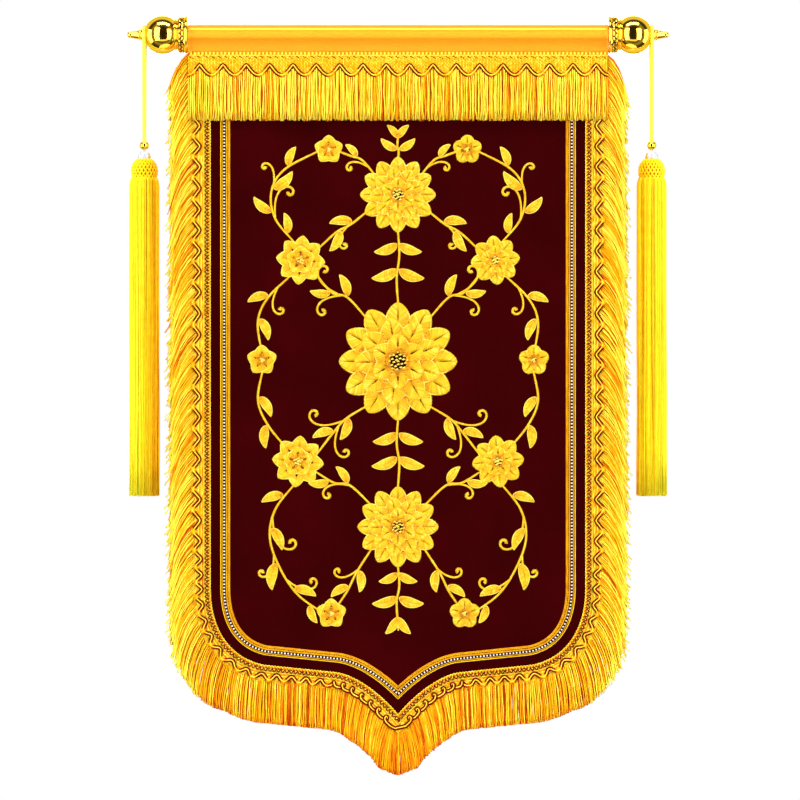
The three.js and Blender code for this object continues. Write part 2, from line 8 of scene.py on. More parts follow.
import bpy
import numpy as np
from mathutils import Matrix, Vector


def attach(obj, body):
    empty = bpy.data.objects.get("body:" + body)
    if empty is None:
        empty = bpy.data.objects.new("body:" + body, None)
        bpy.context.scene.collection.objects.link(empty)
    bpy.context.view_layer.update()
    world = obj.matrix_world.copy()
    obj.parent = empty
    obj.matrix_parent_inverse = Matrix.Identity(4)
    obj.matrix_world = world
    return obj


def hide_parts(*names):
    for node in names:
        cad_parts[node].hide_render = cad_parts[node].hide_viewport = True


MM = 0.001
GAP = 0.3
FORWARD = np.array([0.0, -1.0, 0.0])
SIDES = (("left", -1), ("right", 1))
BOTH = (1, -1)

# Camera: level, square to the banner's front, through a long lens
VIEW_WIDTH = 1200.0
VIEW_CENTRE_X = 3.0
VIEW_CENTRE_Z = -547.8
VIEW_DISTANCE = 6000.0
VIEW_END = 50.0
SENSOR_WIDTH = 36.0

# Lights, in metres: place, target, width and height, watts
BANNER_MIDDLE = (0, 0, -0.5)
LIGHTS = {
    "left_box": ((-1.8, -2.2, -0.1), BANNER_MIDDLE, (1.5, 4.2), 97),
    "right_box": ((1.8, -2.2, -0.1), BANNER_MIDDLE, (1.3, 3.4), 80),
    "left_side": ((-2.6, -0.2, -0.4), BANNER_MIDDLE, (1.2, 2.6), 34),
    "right_side": ((2.6, -0.2, -0.4), BANNER_MIDDLE, (1.2, 2.6), 34),
    "above": ((0, -1.0, 2.6), (0, 0, 0), (3.2, 0.7), 105),
    "low": ((0, -2.2, -1.8), (0, 0, -1.1), (2.8, 0.6), 6),
    "back": ((0, 2.6, 0.4), BANNER_MIDDLE, (2.0, 1.6), 60),
}
FLOOR_HEIGHT = -1.5
FLOOR_RADIUS = 0.75
FLOOR_SIDES = 64

# What the metal reflects, from in front of the banner (0) to behind it (1)
STUDIO_STOPS = (
    (0.0, (0.03, 0.02, 0.01)), (0.16, (0.03, 0.02, 0.01)), (0.30, (0.40, 0.36, 0.32)),
    (0.42, (0.06, 0.05, 0.04)), (0.56, (0.06, 0.05, 0.04)), (0.66, (1.0, 1.0, 1.0)),
    (0.93, (1.0, 1.0, 1.0)), (0.98, (0.10, 0.08, 0.06)),
)
STUDIO_STRENGTH = 0.9

# Colours along each material's ramp
VELVET_STOPS = ((0.3, (0.022, 0.0002, 0.0006)), (0.5, (0.028, 0.0003, 0.0008)),
                (0.72, (0.036, 0.0004, 0.001)))
SATIN_STOPS = ((0.25, (0.96, 0.31, 0.0005)), (0.75, (0.98, 0.37, 0.001)))
GOLD_STOPS = ((0.0, (0.05, 0.012, 0.004)), (0.35, (0.55, 0.22, 0.02)), (0.7, (1.0, 0.62, 0.05)),
              (1.0, (1.0, 0.80, 0.22)))
# The pearl's gold stops are a painted reflection of the fringe
PEARL_STOPS = ((0.0, (0.34, 0.38, 0.45)), (0.3, (0.48, 0.49, 0.52)), (0.6, (0.46, 0.43, 0.38)),
               (0.8, (0.55, 0.30, 0.05)), (1.0, (0.55, 0.25, 0.01)))
METAL_STOPS = ((0.3, (0.6, 0.6, 0.6)), (0.7, (0.75, 0.75, 0.75)))

# Threads: their shades from the deepest to the brightest, and how they shine
THREADS = {
    # behind: painted light on the sides of these threads that face the banner's back
    "gold_fringe_thread": {"behind": 0.6, "shades": (
        (0.50, 0.04, 0.0005), (0.82, 0.18, 0.001), (0.93, 0.36, 0.002), (0.95, 0.53, 0.006),
        (0.98, 0.86, 0.07))},
    "gold_braid_thread": {"shades": (
        (0.30, 0.06, 0.001), (0.66, 0.26, 0.003), (0.93, 0.62, 0.01))},
    "dark_edging_thread": {"shades": (
        (0.10, 0.001, 0.0005), (0.34, 0.004, 0.0005), (0.90, 0.45, 0.004))},
    "white_thread": {"shades": ((0.8, 0.7, 0.6), (0.93, 0.9, 0.85), (1, 1, 1))},
    "black_thread": {"shades": (
        (0.004, 0.002, 0.002), (0.010, 0.005, 0.004), (0.03, 0.02, 0.01))},
    "lemon_silk_thread": {"shades": (
        (0.45, 0.08, 0.001), (0.88, 0.34, 0.002), (0.93, 0.68, 0.008), (1.0, 0.95, 0.03))},
    "lemon_cord": {"roughness": 0.35, "shine": 0.3, "shades": (
        (0.70, 0.60, 0.01), (0.84, 0.84, 0.03), (0.90, 0.93, 0.08))},
    "gold_stitch_thread": {"roughness": 0.45, "shine": 0.15, "shades": (
        (0.40, 0.10, 0.001), (0.80, 0.34, 0.003), (0.90, 0.55, 0.01), (0.98, 0.84, 0.14))},
}
PLY_LENGTH = 1.6

# Edge line, where the fringe heading meets the visible velvet. Half of it, as three bends from
# the point at the middle of the foot to the foot of the side
EDGE_HALF_WIDTH = 281.0
FOOT_BENDS = (
    ((0, -1019), (24, -990), (62, -960), (93, -956)),
    ((93, -956), (129, -952.3), (165, -948.7), (201, -945)),
    ((201, -945), (249, -935), (281, -896), (281, -830)),
)
BEND_STEPS = 40

# Layers from back to front
PANEL_FRONT = -1.0
TRIM_THICKNESS = 2.5
TRIM_BACK = PANEL_FRONT - GAP
TRIM_FRONT = TRIM_BACK - TRIM_THICKNESS
VALANCE_BACK = TRIM_FRONT - GAP
VALANCE_FRONT = VALANCE_BACK - TRIM_THICKNESS

# Velvet panel and its soft folds: a line, how far the fold spreads and how far it stands forward
PANEL_TOP = -27.6
PANEL_UNDERLAP = 15.0
PANEL_CLOTH = 1.4
PANEL_COLUMNS = 40
PANEL_ROWS = 90
FOLDS = (
    ((-244, -150), (-170, -470), 34, 4.5),
    ((-232, -420), (-215, -600), 30, 3.0),
    ((-160, -340), (-112, -470), 26, -3.0),
    ((-140, -150), (30, -255), 36, -3.5),
    ((232, -150), (122, -420), 40, -4.0),
    ((235, -560), (120, -800), 36, 3.5),
    ((-170, -700), (-45, -840), 34, 3.0),
)
FOLD_HALF_WIDTH = 246.0
FOLD_TOP = -70.0
FOLD_FOOT_CLEARANCE = 70.0
FOLD_FADE = 70.0

# Rod sleeve: a drop shape round the rod whose tail hangs behind the valance
SLEEVE_RADIUS = 15.0
SLEEVE_CLOTH = 1.2
SLEEVE_HALF_LENGTH = 314.9
SLEEVE_SEAM = (-2.55, -27.0)
SLEEVE_TAIL_TOP = -25.5
SLEEVE_TAIL_BOTTOM = -41.0
SLEEVE_OVERLAP = 4.0
SLEEVE_STEPS = 48
SLEEVE_ROWS = 71
SLEEVE_RIPPLES = ((0.15, 23.0, 0.0), (0.1, 14.7, 1.3))
RIPPLE_FADE = (12, -4)
RIPPLE_FOOT = -16.0

# Edge heading, from the velvet outwards: picot loops, dark dots, a zigzag on a plait, then ribs.
# front is how far a row stands before the heading's back, and HEADING_TURN the distance over
# which the rows turn at the point
HEADING_INNER = 0.6
HEADING_WIDTH = 26.0
HEADING_TOP = -27.4
HEADING_TAPE = 1.4
HEADING_TURN = 3.0
EDGE_PICOTS = {"offset": 1.9, "height": 1.7, "pitch": 4.6, "radius": 0.85, "front": 1.9}
DOTS = {"offset": 3.9, "pitch": 4.6, "reach": 0.7, "bulge": 0.4, "radius": 1.0, "front": 2.9}
PLAIT = {"offset": 6.4, "half_width": 2.6, "pitch": 3.2, "radius": 1.1, "front": 1.7}
PLAIT_TONES = (0.95, 0.75)
ZIGZAG = {"offset": 6.6, "swing": 2.0, "pitch": 6.4, "radius": 1.15, "front": 3.4}
RIB_OFFSETS = (9.8, 11.9, 14.0, 16.1, 18.2, 20.3, 22.4, 24.6)
RIB_TONES = (1.0, 0.6, 0.95, 0.65, 1.0, 0.8, 0.95, 0.7)
RIBS = {"radius": 1.05, "front": 1.9, "steps": 170}

# Scroll cord on the edge heading, from the point outwards: distance along the edge, length of
# a wave, how far it loops back over itself, its distance from the velvet, its swing and how
# pointed its turns are
SCROLL_TOP = -118.0
SCROLL_WIDTH = 3.7
SCROLL_WAVES = {
    "run": (0, 100, 140, 390, 470, 1200),
    "pitch": (17.8, 17.8, 21.6, 21.6, 31.2, 31.2),
    "loop": (5.4, 5.2, 0.6, 0.3, 0, 0),
    "offset": (18.6, 17.6, 17.2, 17.4, 21.4, 21.4),
    "swing": (3.9, 4.1, 4.1, 4.2, 4.7, 4.7),
    "sharpness": (-0.06, -0.06, -0.05, 0.0, 0.07, 0.07),
}
SCROLL_STEPS = 14
SCROLL_TURN = 10.0
EDGING_RADIUS = 1.55

# Edge fringe. Its sizes go by the angle of the edge's outward side from straight down, and its
# layers from front to back. At the top its strands start further out and are cut shorter:
# TOP_REACH and TOP_TRIM are how much, and the distance along the edge over which that fades
FRINGE_ROOT = 18.5
FRINGE_SIZES = {
    "angle": (0, 34, 54, 74, 90),
    "root": (0.0, 0.5, 2.0, 4.0, 4.5),
    "length": (68, 70, 81, 87, 91),
}
POINT_TRIM = {"x": (0, 8, 16, 24, 34, 48, 60), "length": (5, 5, 9, 12, 8, 4, 0)}
FRINGE_PITCH = {"x": (0, 45, 75, 240, 281), "pitch": (1.3, 1.6, 2.3, 2.3, 3.3)}
FRINGE_SHARES = np.array([0, 0.18, 0.4, 0.65, 0.88, 1])
# Each layer's tone paints its shade: bright in front, deep shade at the back
FRINGE_LAYERS = (
    {"front": -3.4, "radius": 0.66, "bundle": 0.62, "reach": 1.0, "hook": 1.0, "tone": 0.82,
     "spread": 0.17},
    {"front": -1.6, "radius": 0.70, "bundle": 0.75, "reach": 0.98, "hook": 0.6, "tone": 0.48,
     "spread": 0.22},
    {"front": 0.3, "radius": 1.35, "bundle": 1.3, "reach": 0.93, "hook": 0.0, "tone": 0.10,
     "spread": 0.10},
)
STRAND_THREADS = 2
STRAND_TWIST = 6.0
FOOT_SHADE = 0.16
POINT_SHADE = 0.14
# Share of fringe strands painted deep, as the shade in the gaps between strands
SHADED_STRAND_SHARE = 0.14
LEAN_START = 0.56
LEAN_END = 0.05
POINT_FAN = 34.0
TOP_REACH = (11.0, 22.0)
TOP_TRIM = (18.0, 40.0)
SIDE_FRINGE_WIDTH = 40.0
FRINGE_NODES = {"foot": "edge_fringe"}

# Inner braid: at is a row's distance from the braid's outer side, and front its own depth.
# Beads have a name, a start as a share of their pitch, a distance aside and a size
BRAID_OUTER = 14.5
BRAID_WIDTH = 15.0
BRAID_TOP = -42.0
BRAID_TAPE = 0.6
BRAID_TURN = 2.0
BRAID_CORDS = {"at": (1.0, 2.9), "front": -2.3, "radius": 0.95, "sides": 5}
BRAID_FLATS = {"at": (8.7, 10.3, 12.3, 14.0), "front": -2.2, "radius": 0.85, "sides": 4}
FLAT_TONES = (0.8, 0.62, 0.7, 0.6)
BRAID_SEAMS = {"at": (2.2, 4.1, 8.0), "front": -2.9, "radius": 0.6, "sides": 3}
DASH_ROW = {"at": 11.3, "front": -3.0, "radius": 0.6, "pitch": 3.6}
DASH_REACH = (-0.8, 0.8)
BEAD_ROW = {"at": 6.2, "front": -2.6, "pitch": 4.94}
BEADS = (("light", 0.0, 0.3, 1.45), ("dark", 0.5, -0.2, 1.85))
BEAD_STEPS = (-1.0, -0.6, 0.6, 1.0)
BEAD_SWELL = (0.4, 1.0, 1.0, 0.4)

# Valance
VALANCE_HALF_WIDTH = 314.6
VALANCE_TAPE = {"top": -32.5, "foot": -62.0, "thickness": 1.2, "columns": 127}
VALANCE_FOOT = -128.6
VALANCE_PITCH = 2.9
VALANCE_TONE = 0.15
VALANCE_SHARES = np.array([0, 0.2, 0.5, 0.8, 1])
VALANCE_WAVES = 18
VALANCE_WAVE_MIDDLE = -52.6
VALANCE_WAVE_SWING = 8.2
VALANCE_SCROLL_WIDTH = 3.8
VALANCE_RIBS = {"pitch": 2.25, "top": -33.0, "rows": 12, "front": 1.7, "weft": 0.5}
VALANCE_PICOTS = {"pitch": 5.72, "z": -29.4, "height": 2.6, "lean": 1.9, "drop": 3.2}
VALANCE_DASHES = {"pitch": 10.5, "z": -34.4, "length": 6.5, "fall": 3.2, "radius": 0.9}

# Finials
COLLAR_MOUTH = 315.0
SOCKET_END = 339.3
SOCKET_RADIUS = 13.5
BALL_RADIUS = 28.5
BALL_CENTRE = 353.0
BELL = {"foot": 320.9, "top": 328.4, "petals": 9, "veins": 36, "relief": 0.045}
FINIAL_SIDES = 72

# Cords, beads and tassels
TASSEL_X = 380.4
CORD_RADIUS = 2.8
CORD_SIDES = 14
CORD_ROUTE = (
    (3.1, -163.2), (3.3, -155), (4.5, -134), (6.2, -103), (7.9, -72), (9.6, -41), (11.1, -14),
    (12.5, 0), (8.9, 8.9), (0, 12.5), (-8.9, 8.9), (-12.5, 0), (-11.1, -14), (-9.6, -41),
    (-7.9, -72), (-6.2, -103), (-4.5, -134), (-3.3, -155), (-3.1, -163.2),
)
BEAD_FOOT = -172.4
BEAD_SIDES = 48
PEARL_RADIUS = 10.3
PEARL_CENTRE = BEAD_FOOT - GAP - PEARL_RADIUS
PEARL_SIDES = 64
HEAD_SHAPE = {
    "z": (-219, -215.5, -213.6, -210, -205.4, -201, -197, -194, -191.1, -189, -187, -187, -190),
    "r": (19.5, 18.6, 18.0, 19.0, 19.7, 19.3, 18.3, 17.0, 15.0, 13.0, 10.0, 7.5, 2.0),
}
HEAD_END = -190.5
HEAD_SIDES = 40
CORE_INSET = 1.8
NET_CORDS = 20
NET_KNOT = 5.0
NET_RADIUS = 1.3
SKIRT_TOP = -213.8
SKIRT_FOOT = -692.0
SKIRT_RADIUS = 22.3
SKIRT_SHARES = np.array([0, 0.012, 0.03, 0.12, 0.3, 0.5, 0.7, 0.87, 1])
SKIRT_THREADS = 1000
SKIRT_LOCKS = 90
SKIRT_THREAD_RADIUS = 0.62

# Embroidery
STITCH_PITCH = 1.35
STITCH_RADIUS = 0.8
STITCH_BACK = 0.25
STITCH_PAD = 1.2
OUTLINE_STEPS = 26
OUTLINE_RADIUS = 0.75
OUTLINE_BACK = 0.7
RING_LIFT = 0.7
STEM_TUCK = 9.0
LEAF_WIDTH = 0.36
PETAL_WIDTH = 0.78
# Tones from root to tip of petals and leaves: darker at the root, where each tucks under its
# neighbour, as painted shade
PETAL_TONES = (0.1, 0.45, 0.65, 0.7)
LEAF_TONES = (0.25, 0.55, 0.65, 0.5)
HEART_SHARE = 0.17
HEART_TURN = 2.4
KNOT_PATH = np.array([[-1.4, 0], [0, 0.2], [1.4, 0]])
KNOT_WIDTHS = (1.2, 2.8, 1.2)
STEM_WIDTHS = (2.2, 3.6, 3.6, 3.6, 2.2)
TENDRIL_WIDTHS = (2.6, 2.6, 3.2, 3.4, 4.6)

# Flowers: centre, radius and rings of petals. A ring is its share of the radius, the length of
# its petals as a share, their count and their turn
LARGE_RINGS = ((1.0, 0.44, 12, 0.0), (0.74, 0.38, 9, 0.2), (0.46, 0.30, 6, 0.0))
MIDDLE_RINGS = ((1.0, 0.60, 8, 0.1), (0.58, 0.40, 5, 0.0))
SMALL_RINGS = ((1.0, 0.78, 5, 0.0),)
MIDDLE_FLOWERS = (
    ((0, -490), 88, LARGE_RINGS), ((0, -240), 56, LARGE_RINGS), ((0, -738), 60, LARGE_RINGS),
)
SIDE_FLOWERS = (
    ((146, -338), 36, MIDDLE_RINGS), ((150, -640), 38, MIDDLE_RINGS),
    ((104, -172), 21, SMALL_RINGS), ((204, -488), 22, SMALL_RINGS),
    ((100, -868), 22, SMALL_RINGS),
)

# Vines of one half: points, then leaves and tendrils as (share, way, length) along them
SIDE_VINES = (
    (((52, -420), (76, -394), (100, -386), (122, -360)),
     ((0.35, 1, 34), (0.7, -1, 30)), ((0.5, 1, 92), (0.45, -1, 84))),
    (((160, -306), (184, -276), (190, -236), (170, -202), (122, -176)),
     ((0.12, 1, 30), (0.32, -1, 34), (0.55, 1, 38), (0.8, -1, 30)),
     ((0.28, 1, 96), (0.62, -1, 60))),
    (((168, -368), (196, -396), (210, -430), (206, -466)),
     ((0.3, 1, 32), (0.65, -1, 34)), ((0.2, -1, 74),)),
    (((204, -510), (210, -548), (196, -584), (174, -612)),
     ((0.3, -1, 34), (0.7, 1, 34)), ()),
    (((52, -560), (78, -576), (98, -598), (118, -624)),
     ((0.3, -1, 34), (0.65, 1, 32)), ((0.5, -1, 88), (0.4, 1, 96))),
    (((158, -678), (184, -712), (192, -756), (176, -802), (150, -840), (120, -862)),
     ((0.12, 1, 34), (0.34, -1, 36), (0.55, 1, 40), (0.76, -1, 34), (0.9, 1, 28)),
     ((0.25, -1, 104), (0.5, 1, 70), (0.68, -1, 84))),
    (((46, -700), (72, -676), (96, -672), (116, -660)),
     ((0.4, 1, 30), (0.75, -1, 30)), ((0.35, -1, 78),)),
    (((44, -778), (62, -806), (76, -834), (88, -852)),
     ((0.3, -1, 32), (0.6, 1, 30)), ((0.3, 1, 66),)),
    (((40, -204), (54, -188), (70, -182), (86, -176)), ((0.5, 1, 24),), ((0.2, -1, 60),)),
    (((50, -268), (70, -284), (92, -296), (112, -314)),
     ((0.3, 1, 34), (0.6, -1, 34)), ((0.45, -1, 62),)),
)
MIDDLE_VINES = (
    ((0, -298), (2, -330), (-2, -366), (0, -400)),
    ((0, -580), (-2, -612), (2, -644), (0, -676)),
    ((0, -800), (2, -826), (-2, -852), (0, -884)),
    ((0, -186), (1, -176), (-1, -166), (0, -156)),
)

# Pairs of leaves on the middle stems: height, angle, length and curl
MIDDLE_LEAVES = (
    (-312, -35, 36, 0.8), (-350, -35, 40, 0.8), (-596, -35, 38, 0.8), (-632, -35, 40, 0.8),
    (-806, -40, 30, 0.8), (-842, -30, 38, 0.8), (-872, -65, 30, 0.6), (-172, 20, 28, 0.7),
    (-156, 62, 24, -0.6),
)

random = np.random.default_rng(7)
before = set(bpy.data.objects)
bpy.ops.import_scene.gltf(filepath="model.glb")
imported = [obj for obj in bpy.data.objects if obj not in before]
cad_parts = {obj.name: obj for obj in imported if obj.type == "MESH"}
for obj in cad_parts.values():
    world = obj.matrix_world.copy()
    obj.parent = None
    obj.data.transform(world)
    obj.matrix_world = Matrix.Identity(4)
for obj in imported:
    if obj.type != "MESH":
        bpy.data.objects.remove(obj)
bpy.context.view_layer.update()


# Camera, light and floor

def stand(name, data, place, target):
    """Puts a camera or light in the scene, turned towards a point. Places are in metres."""
    thing = bpy.data.objects.new(name, data)
    thing.location = place
    way = np.array(target) - np.array(thing.location)
    thing.rotation_euler = Vector(way).to_track_quat("-Z", "Y").to_euler()
    bpy.context.scene.collection.objects.link(thing)
    return thing


def add_camera():
    data = bpy.data.cameras.new("camera")
    data.sensor_width = SENSOR_WIDTH
    data.lens = SENSOR_WIDTH * VIEW_DISTANCE / VIEW_WIDTH
    data.clip_end = VIEW_END
    x, z = VIEW_CENTRE_X * MM, VIEW_CENTRE_Z * MM
    bpy.context.scene.camera = stand("camera", data, (x, -VIEW_DISTANCE * MM, z), (x, 0, z))


def add_world():
    """White behind the banner. What the banner reflects is a studio of dark and pale bands."""
    world = bpy.data.worlds.new("studio")
    bpy.context.scene.world = world
    world.use_nodes = True
    world.node_tree.nodes.clear()
    nodes = Nodes(world.node_tree)
    seen = nodes.add("ShaderNodeBackground", Color=(1, 1, 1, 1), Strength=1.0)
    parts = nodes.add("ShaderNodeSeparateXYZ", Vector=nodes.place("Generated"))
    behind = nodes.math("MULTIPLY_ADD", parts.outputs["Y"], 0.5, 0.5)
    studio = nodes.add("ShaderNodeBackground", Color=nodes.ramp(behind, STUDIO_STOPS),
                       Strength=STUDIO_STRENGTH)
    rays = nodes.add("ShaderNodeLightPath")
    mixed = nodes.add("ShaderNodeMixShader", Fac=rays.outputs["Is Camera Ray"])
    nodes.fill(mixed.inputs[1], studio.outputs[0])
    nodes.fill(mixed.inputs[2], seen.outputs[0])
    nodes.add("ShaderNodeOutputWorld", Surface=mixed.outputs[0])


def add_studio():
    for name, (place, target, size, power) in LIGHTS.items():
        data = bpy.data.lights.new(name, "AREA")
        data.shape = "RECTANGLE"
        data.size, data.size_y = size
        data.energy = power
        stand(name, data, place, target)
    bpy.ops.mesh.primitive_circle_add(vertices=FLOOR_SIDES, radius=FLOOR_RADIUS,
                                      fill_type="NGON", location=(0, 0, FLOOR_HEIGHT))
    floor = bpy.context.object
    floor.name = "floor"
    paper, nodes = new_material("floor_paper")
    nodes.shader(Base_Color=(0.9, 0.9, 0.88, 1), Roughness=0.9)
    floor.data.materials.append(paper)


# Materials

class Nodes:
    """A short way to add and join the nodes of a tree."""

    def __init__(self, tree):
        self.tree = tree

    def fill(self, socket, value):
        """Sets an input to a value, or links another node's output to it."""
        if isinstance(value, bpy.types.NodeSocket):
            self.tree.links.new(value, socket)
        else:
            socket.default_value = value

    def put(self, node, **inputs):
        for name, value in inputs.items():
            self.fill(node.inputs[name.replace("_", " ")], value)
        return node

    def add(self, kind, **inputs):
        return self.put(self.tree.nodes.new(kind), **inputs)

    def shader(self, **inputs):
        return self.put(self.tree.nodes["Principled BSDF"], **inputs)

    def place(self, kind="Object"):
        return self.add("ShaderNodeTexCoord").outputs[kind]

    def math(self, operation, *values):
        node = self.add("ShaderNodeMath")
        node.operation = operation
        for socket, value in zip(node.inputs, values):
            self.fill(socket, value)
        return node.outputs[0]

    def ramp(self, factor, stops):
        """A colour ramp with (place, colour) stops."""
        node = self.add("ShaderNodeValToRGB", Fac=factor)
        elements = node.color_ramp.elements
        while len(elements) < len(stops):
            elements.new(0.5)
        for element, (place, colour) in zip(elements, stops):
            element.position = place
            element.color = (*colour, 1)
        return node.outputs[0]

    def noise(self, scale, detail=2.0, place=None):
        place = place or self.place()
        return self.add("ShaderNodeTexNoise", Scale=scale, Detail=detail, Vector=place).outputs[0]

    def tone(self):
        node = self.add("ShaderNodeAttribute")
        node.attribute_name = "tone"
        return node.outputs["Fac"]

    def bump(self, height, distance, strength):
        return self.add("ShaderNodeBump", Height=height, Distance=distance * MM,
                        Strength=strength).outputs[0]


def new_material(name):
    material = bpy.data.materials.new(name)
    material.use_nodes = True
    return material, Nodes(material.node_tree)


def thread_material(name, shades, roughness=0.55, shine=0.05, behind=0.0):
    """Silky thread: its tone picks one of the shades, and two plies twist round it.

    behind is painted light: it is added to the tone on sides that face the banner's back, where
    no layer shades them.
    """
    material, nodes = new_material(name)
    facing = nodes.add("ShaderNodeSeparateXYZ", Vector=nodes.place("Normal")).outputs["Y"]
    # Painted light: sides that face the banner's back get a brighter tone.
    lit = nodes.math("MULTIPLY_ADD", nodes.math("MAXIMUM", facing, 0.0), behind, nodes.tone())
    tone = nodes.math("MULTIPLY_ADD", nodes.noise(90.0, 3.0), 0.3,
                      nodes.math("SUBTRACT", lit, 0.15))
    colour = nodes.ramp(tone, tuple(zip(shares(len(shades)), shades)))
    around = nodes.add("ShaderNodeUVMap")
    around.uv_map = "thread"
    parts = nodes.add("ShaderNodeSeparateXYZ", Vector=around.outputs[0])
    turns = nodes.math("MULTIPLY_ADD", parts.outputs["Y"], 1 / PLY_LENGTH, parts.outputs["X"])
    twist = nodes.math("SINE", nodes.math("MULTIPLY", turns, 4 * math.pi))
    nodes.shader(Base_Color=colour, Normal=nodes.bump(twist, 0.12, 0.7), Roughness=roughness,
                 Specular_IOR_Level=shine)
    return material


def velvet_material():
    """Short dense pile: dark, with a soft red edge sheen and brushed patches."""
    material, nodes = new_material("velvet")
    pile = nodes.noise(900.0)
    tone = nodes.math("MULTIPLY_ADD", pile, 0.35, nodes.math("MULTIPLY", nodes.noise(9.0), 0.65))
    nodes.shader(Base_Color=nodes.ramp(tone, VELVET_STOPS), Normal=nodes.bump(pile, 0.5, 0.6),
                 Roughness=1.0, Specular_IOR_Level=0.01, Sheen_Weight=0.03, Sheen_Roughness=0.35,
                 Sheen_Tint=(0.6, 0.01, 0.02, 1))
    return material


def satin_material():
    """Golden satin: long floats round the rod spread the shine along it, finely speckled."""
    material, nodes = new_material("satin")
    stretch = nodes.add("ShaderNodeMapping", Vector=nodes.place(), Scale=(0.25, 1.0, 1.0))
    speckle = nodes.noise(700.0, 3.0, stretch.outputs[0])
    tangent = nodes.add("ShaderNodeTangent")
    tangent.direction_type = "RADIAL"
    tangent.axis = "X"
    nodes.shader(Base_Color=nodes.ramp(speckle, SATIN_STOPS), Tangent=tangent.outputs[0],
                 Roughness=nodes.math("MULTIPLY_ADD", speckle, 0.14, 0.40),
                 Normal=nodes.bump(speckle, 0.12, 0.5), Anisotropic=0.8,
                 Anisotropic_Rotation=0.25, Metallic=0.5)
    return material


def gold_material():
    """Polished plating with faint smears; its tone paints shade in the embossing's hollows and
    highlights on its ridges.
    """
    material, nodes = new_material("polished_gold")
    nodes.shader(Base_Color=nodes.ramp(nodes.tone(), GOLD_STOPS), Metallic=1.0,
                 Roughness=nodes.math("MULTIPLY_ADD", nodes.noise(60.0, 3.0), 0.08, 0.05),
                 Specular_Tint=(1.0, 0.75, 0.3, 1))
    return material


def pearl_material():
    """White pearl. Its tone paints a gold reflection of the fringe beside it."""
    material, nodes = new_material("pearl_white")
    tone = nodes.math("MULTIPLY_ADD", nodes.noise(70.0), 0.1, nodes.tone())
    nodes.shader(Base_Color=nodes.ramp(tone, PEARL_STOPS), Roughness=0.16, Coat_Weight=0.2,
                 Coat_Roughness=0.05)
    return material


def metal_material():
    material, nodes = new_material("rod_metal")
    nodes.shader(Base_Color=nodes.ramp(nodes.noise(300.0), METAL_STOPS), Metallic=1.0,
                 Roughness=0.35)
    return material


# Mesh building. A look is a material and the name of its slot; add_piece uses only the material

def add_piece(name, points, faces, look, tone=0.5, thread=None, smooth=True, node=None):
    """A mesh piece that rides on the banner, and the CAD node that it replaces, if any.

    faces is a list of arrays of equal-sided faces.
    """
    mesh = bpy.data.meshes.new(name)
    points = np.asarray(points, float).reshape(-1, 3)
    corners = np.concatenate([np.asarray(f).ravel() for f in faces]).astype(np.int32)
    sides = np.concatenate([np.full(len(f), f.shape[1]) for f in faces])
    mesh.vertices.add(len(points))
    mesh.vertices.foreach_set("co", (points * MM).ravel())
    mesh.loops.add(len(corners))
    mesh.loops.foreach_set("vertex_index", corners)
    mesh.polygons.add(len(sides))
    mesh.polygons.foreach_set("loop_start", (np.cumsum(sides) - sides).astype(np.int32))
    mesh.update(calc_edges=True)
    mesh.polygons.foreach_set("use_smooth", np.full(len(sides), smooth))
    shade = mesh.attributes.new("tone", "FLOAT", "POINT")
    shade.data.foreach_set("value", np.broadcast_to(tone, len(points)).astype(np.float32))
    if thread is not None:
        layer = mesh.uv_layers.new(name="thread")
        layer.data.foreach_set("uv", thread[corners].astype(np.float32).ravel())
    mesh.materials.append(look[0])
    piece = bpy.data.objects.new(name, mesh)
    bpy.context.scene.collection.objects.link(piece)
    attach(piece, "root")
    if node:
        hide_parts(node)
    return piece


def unit(vectors):
    return vectors / np.maximum(np.linalg.norm(vectors, axis=-1, keepdims=True), 1e-9)


def shares(count):
    return np.linspace(0, 1, count)


def sideways(lines):
    """Directions across lines, in the banner's plane."""
    return unit(np.cross(unit(np.gradient(lines, axis=-2)), FORWARD))


def grid_faces(rows, columns, wrap):
    """Quads over a grid of points, rows by columns, closed across its columns if it wraps."""
    index = np.arange(rows * columns).reshape(rows, columns)
    nearby = np.roll(index, -1, axis=1) if wrap else index[:, 1:]
    here = index if wrap else index[:, :-1]
    return np.stack([here[:-1], here[1:], nearby[1:], nearby[:-1]], axis=-1).reshape(-1, 4)


def tubes(lines, radii, sides, flatten=1.0):
    """Closed tubes along lines of (n, k, 3) points: points, faces and the thread's own places."""
    count, steps, _ = lines.shape
    across = sideways(lines)
    outward = np.cross(across, unit(np.gradient(lines, axis=1))) * flatten
    angles = 2 * np.pi * (np.arange(sides) + 0.25) / sides
    ring = (across[:, :, None] * np.cos(angles)[:, None]
            + outward[:, :, None] * np.sin(angles)[:, None])
    radii = np.broadcast_to(radii, (count, steps))
    points = lines[:, :, None] + ring * radii[:, :, None, None]
    shift = np.arange(count)[:, None, None] * steps * sides
    walls = (grid_faces(steps, sides, wrap=True)[None] + shift).reshape(-1, 4)
    cap = np.arange(sides)[None] + shift[:, 0]
    caps = np.concatenate([cap, cap[:, ::-1] + (steps - 1) * sides])
    run = np.cumsum(np.linalg.norm(np.diff(lines, axis=1, prepend=lines[:, :1]), axis=2), axis=1)
    around = np.broadcast_to(np.arange(sides) / sides, (count, steps, sides))
    thread = np.stack(np.broadcast_arrays(around, run[:, :, None]), axis=-1).reshape(-1, 2)
    return points.reshape(-1, 3), [walls, caps], thread


def add_tubes(name, lines, radii, look, tone=0.5, sides=3, flatten=1.0, node=None):
    """A piece of tubes, with a tone for all, for each or for each point along them."""
    points, faces, thread = tubes(lines, radii, sides, flatten)
    tone = np.clip(np.asarray(tone, float), 0, 1)
    if tone.ndim == 1:
        tone = tone[:, None]
    tone = np.repeat(np.broadcast_to(tone, lines.shape[:2]).ravel(), sides)
    return add_piece(name, points, faces, look, tone, thread, node=node)


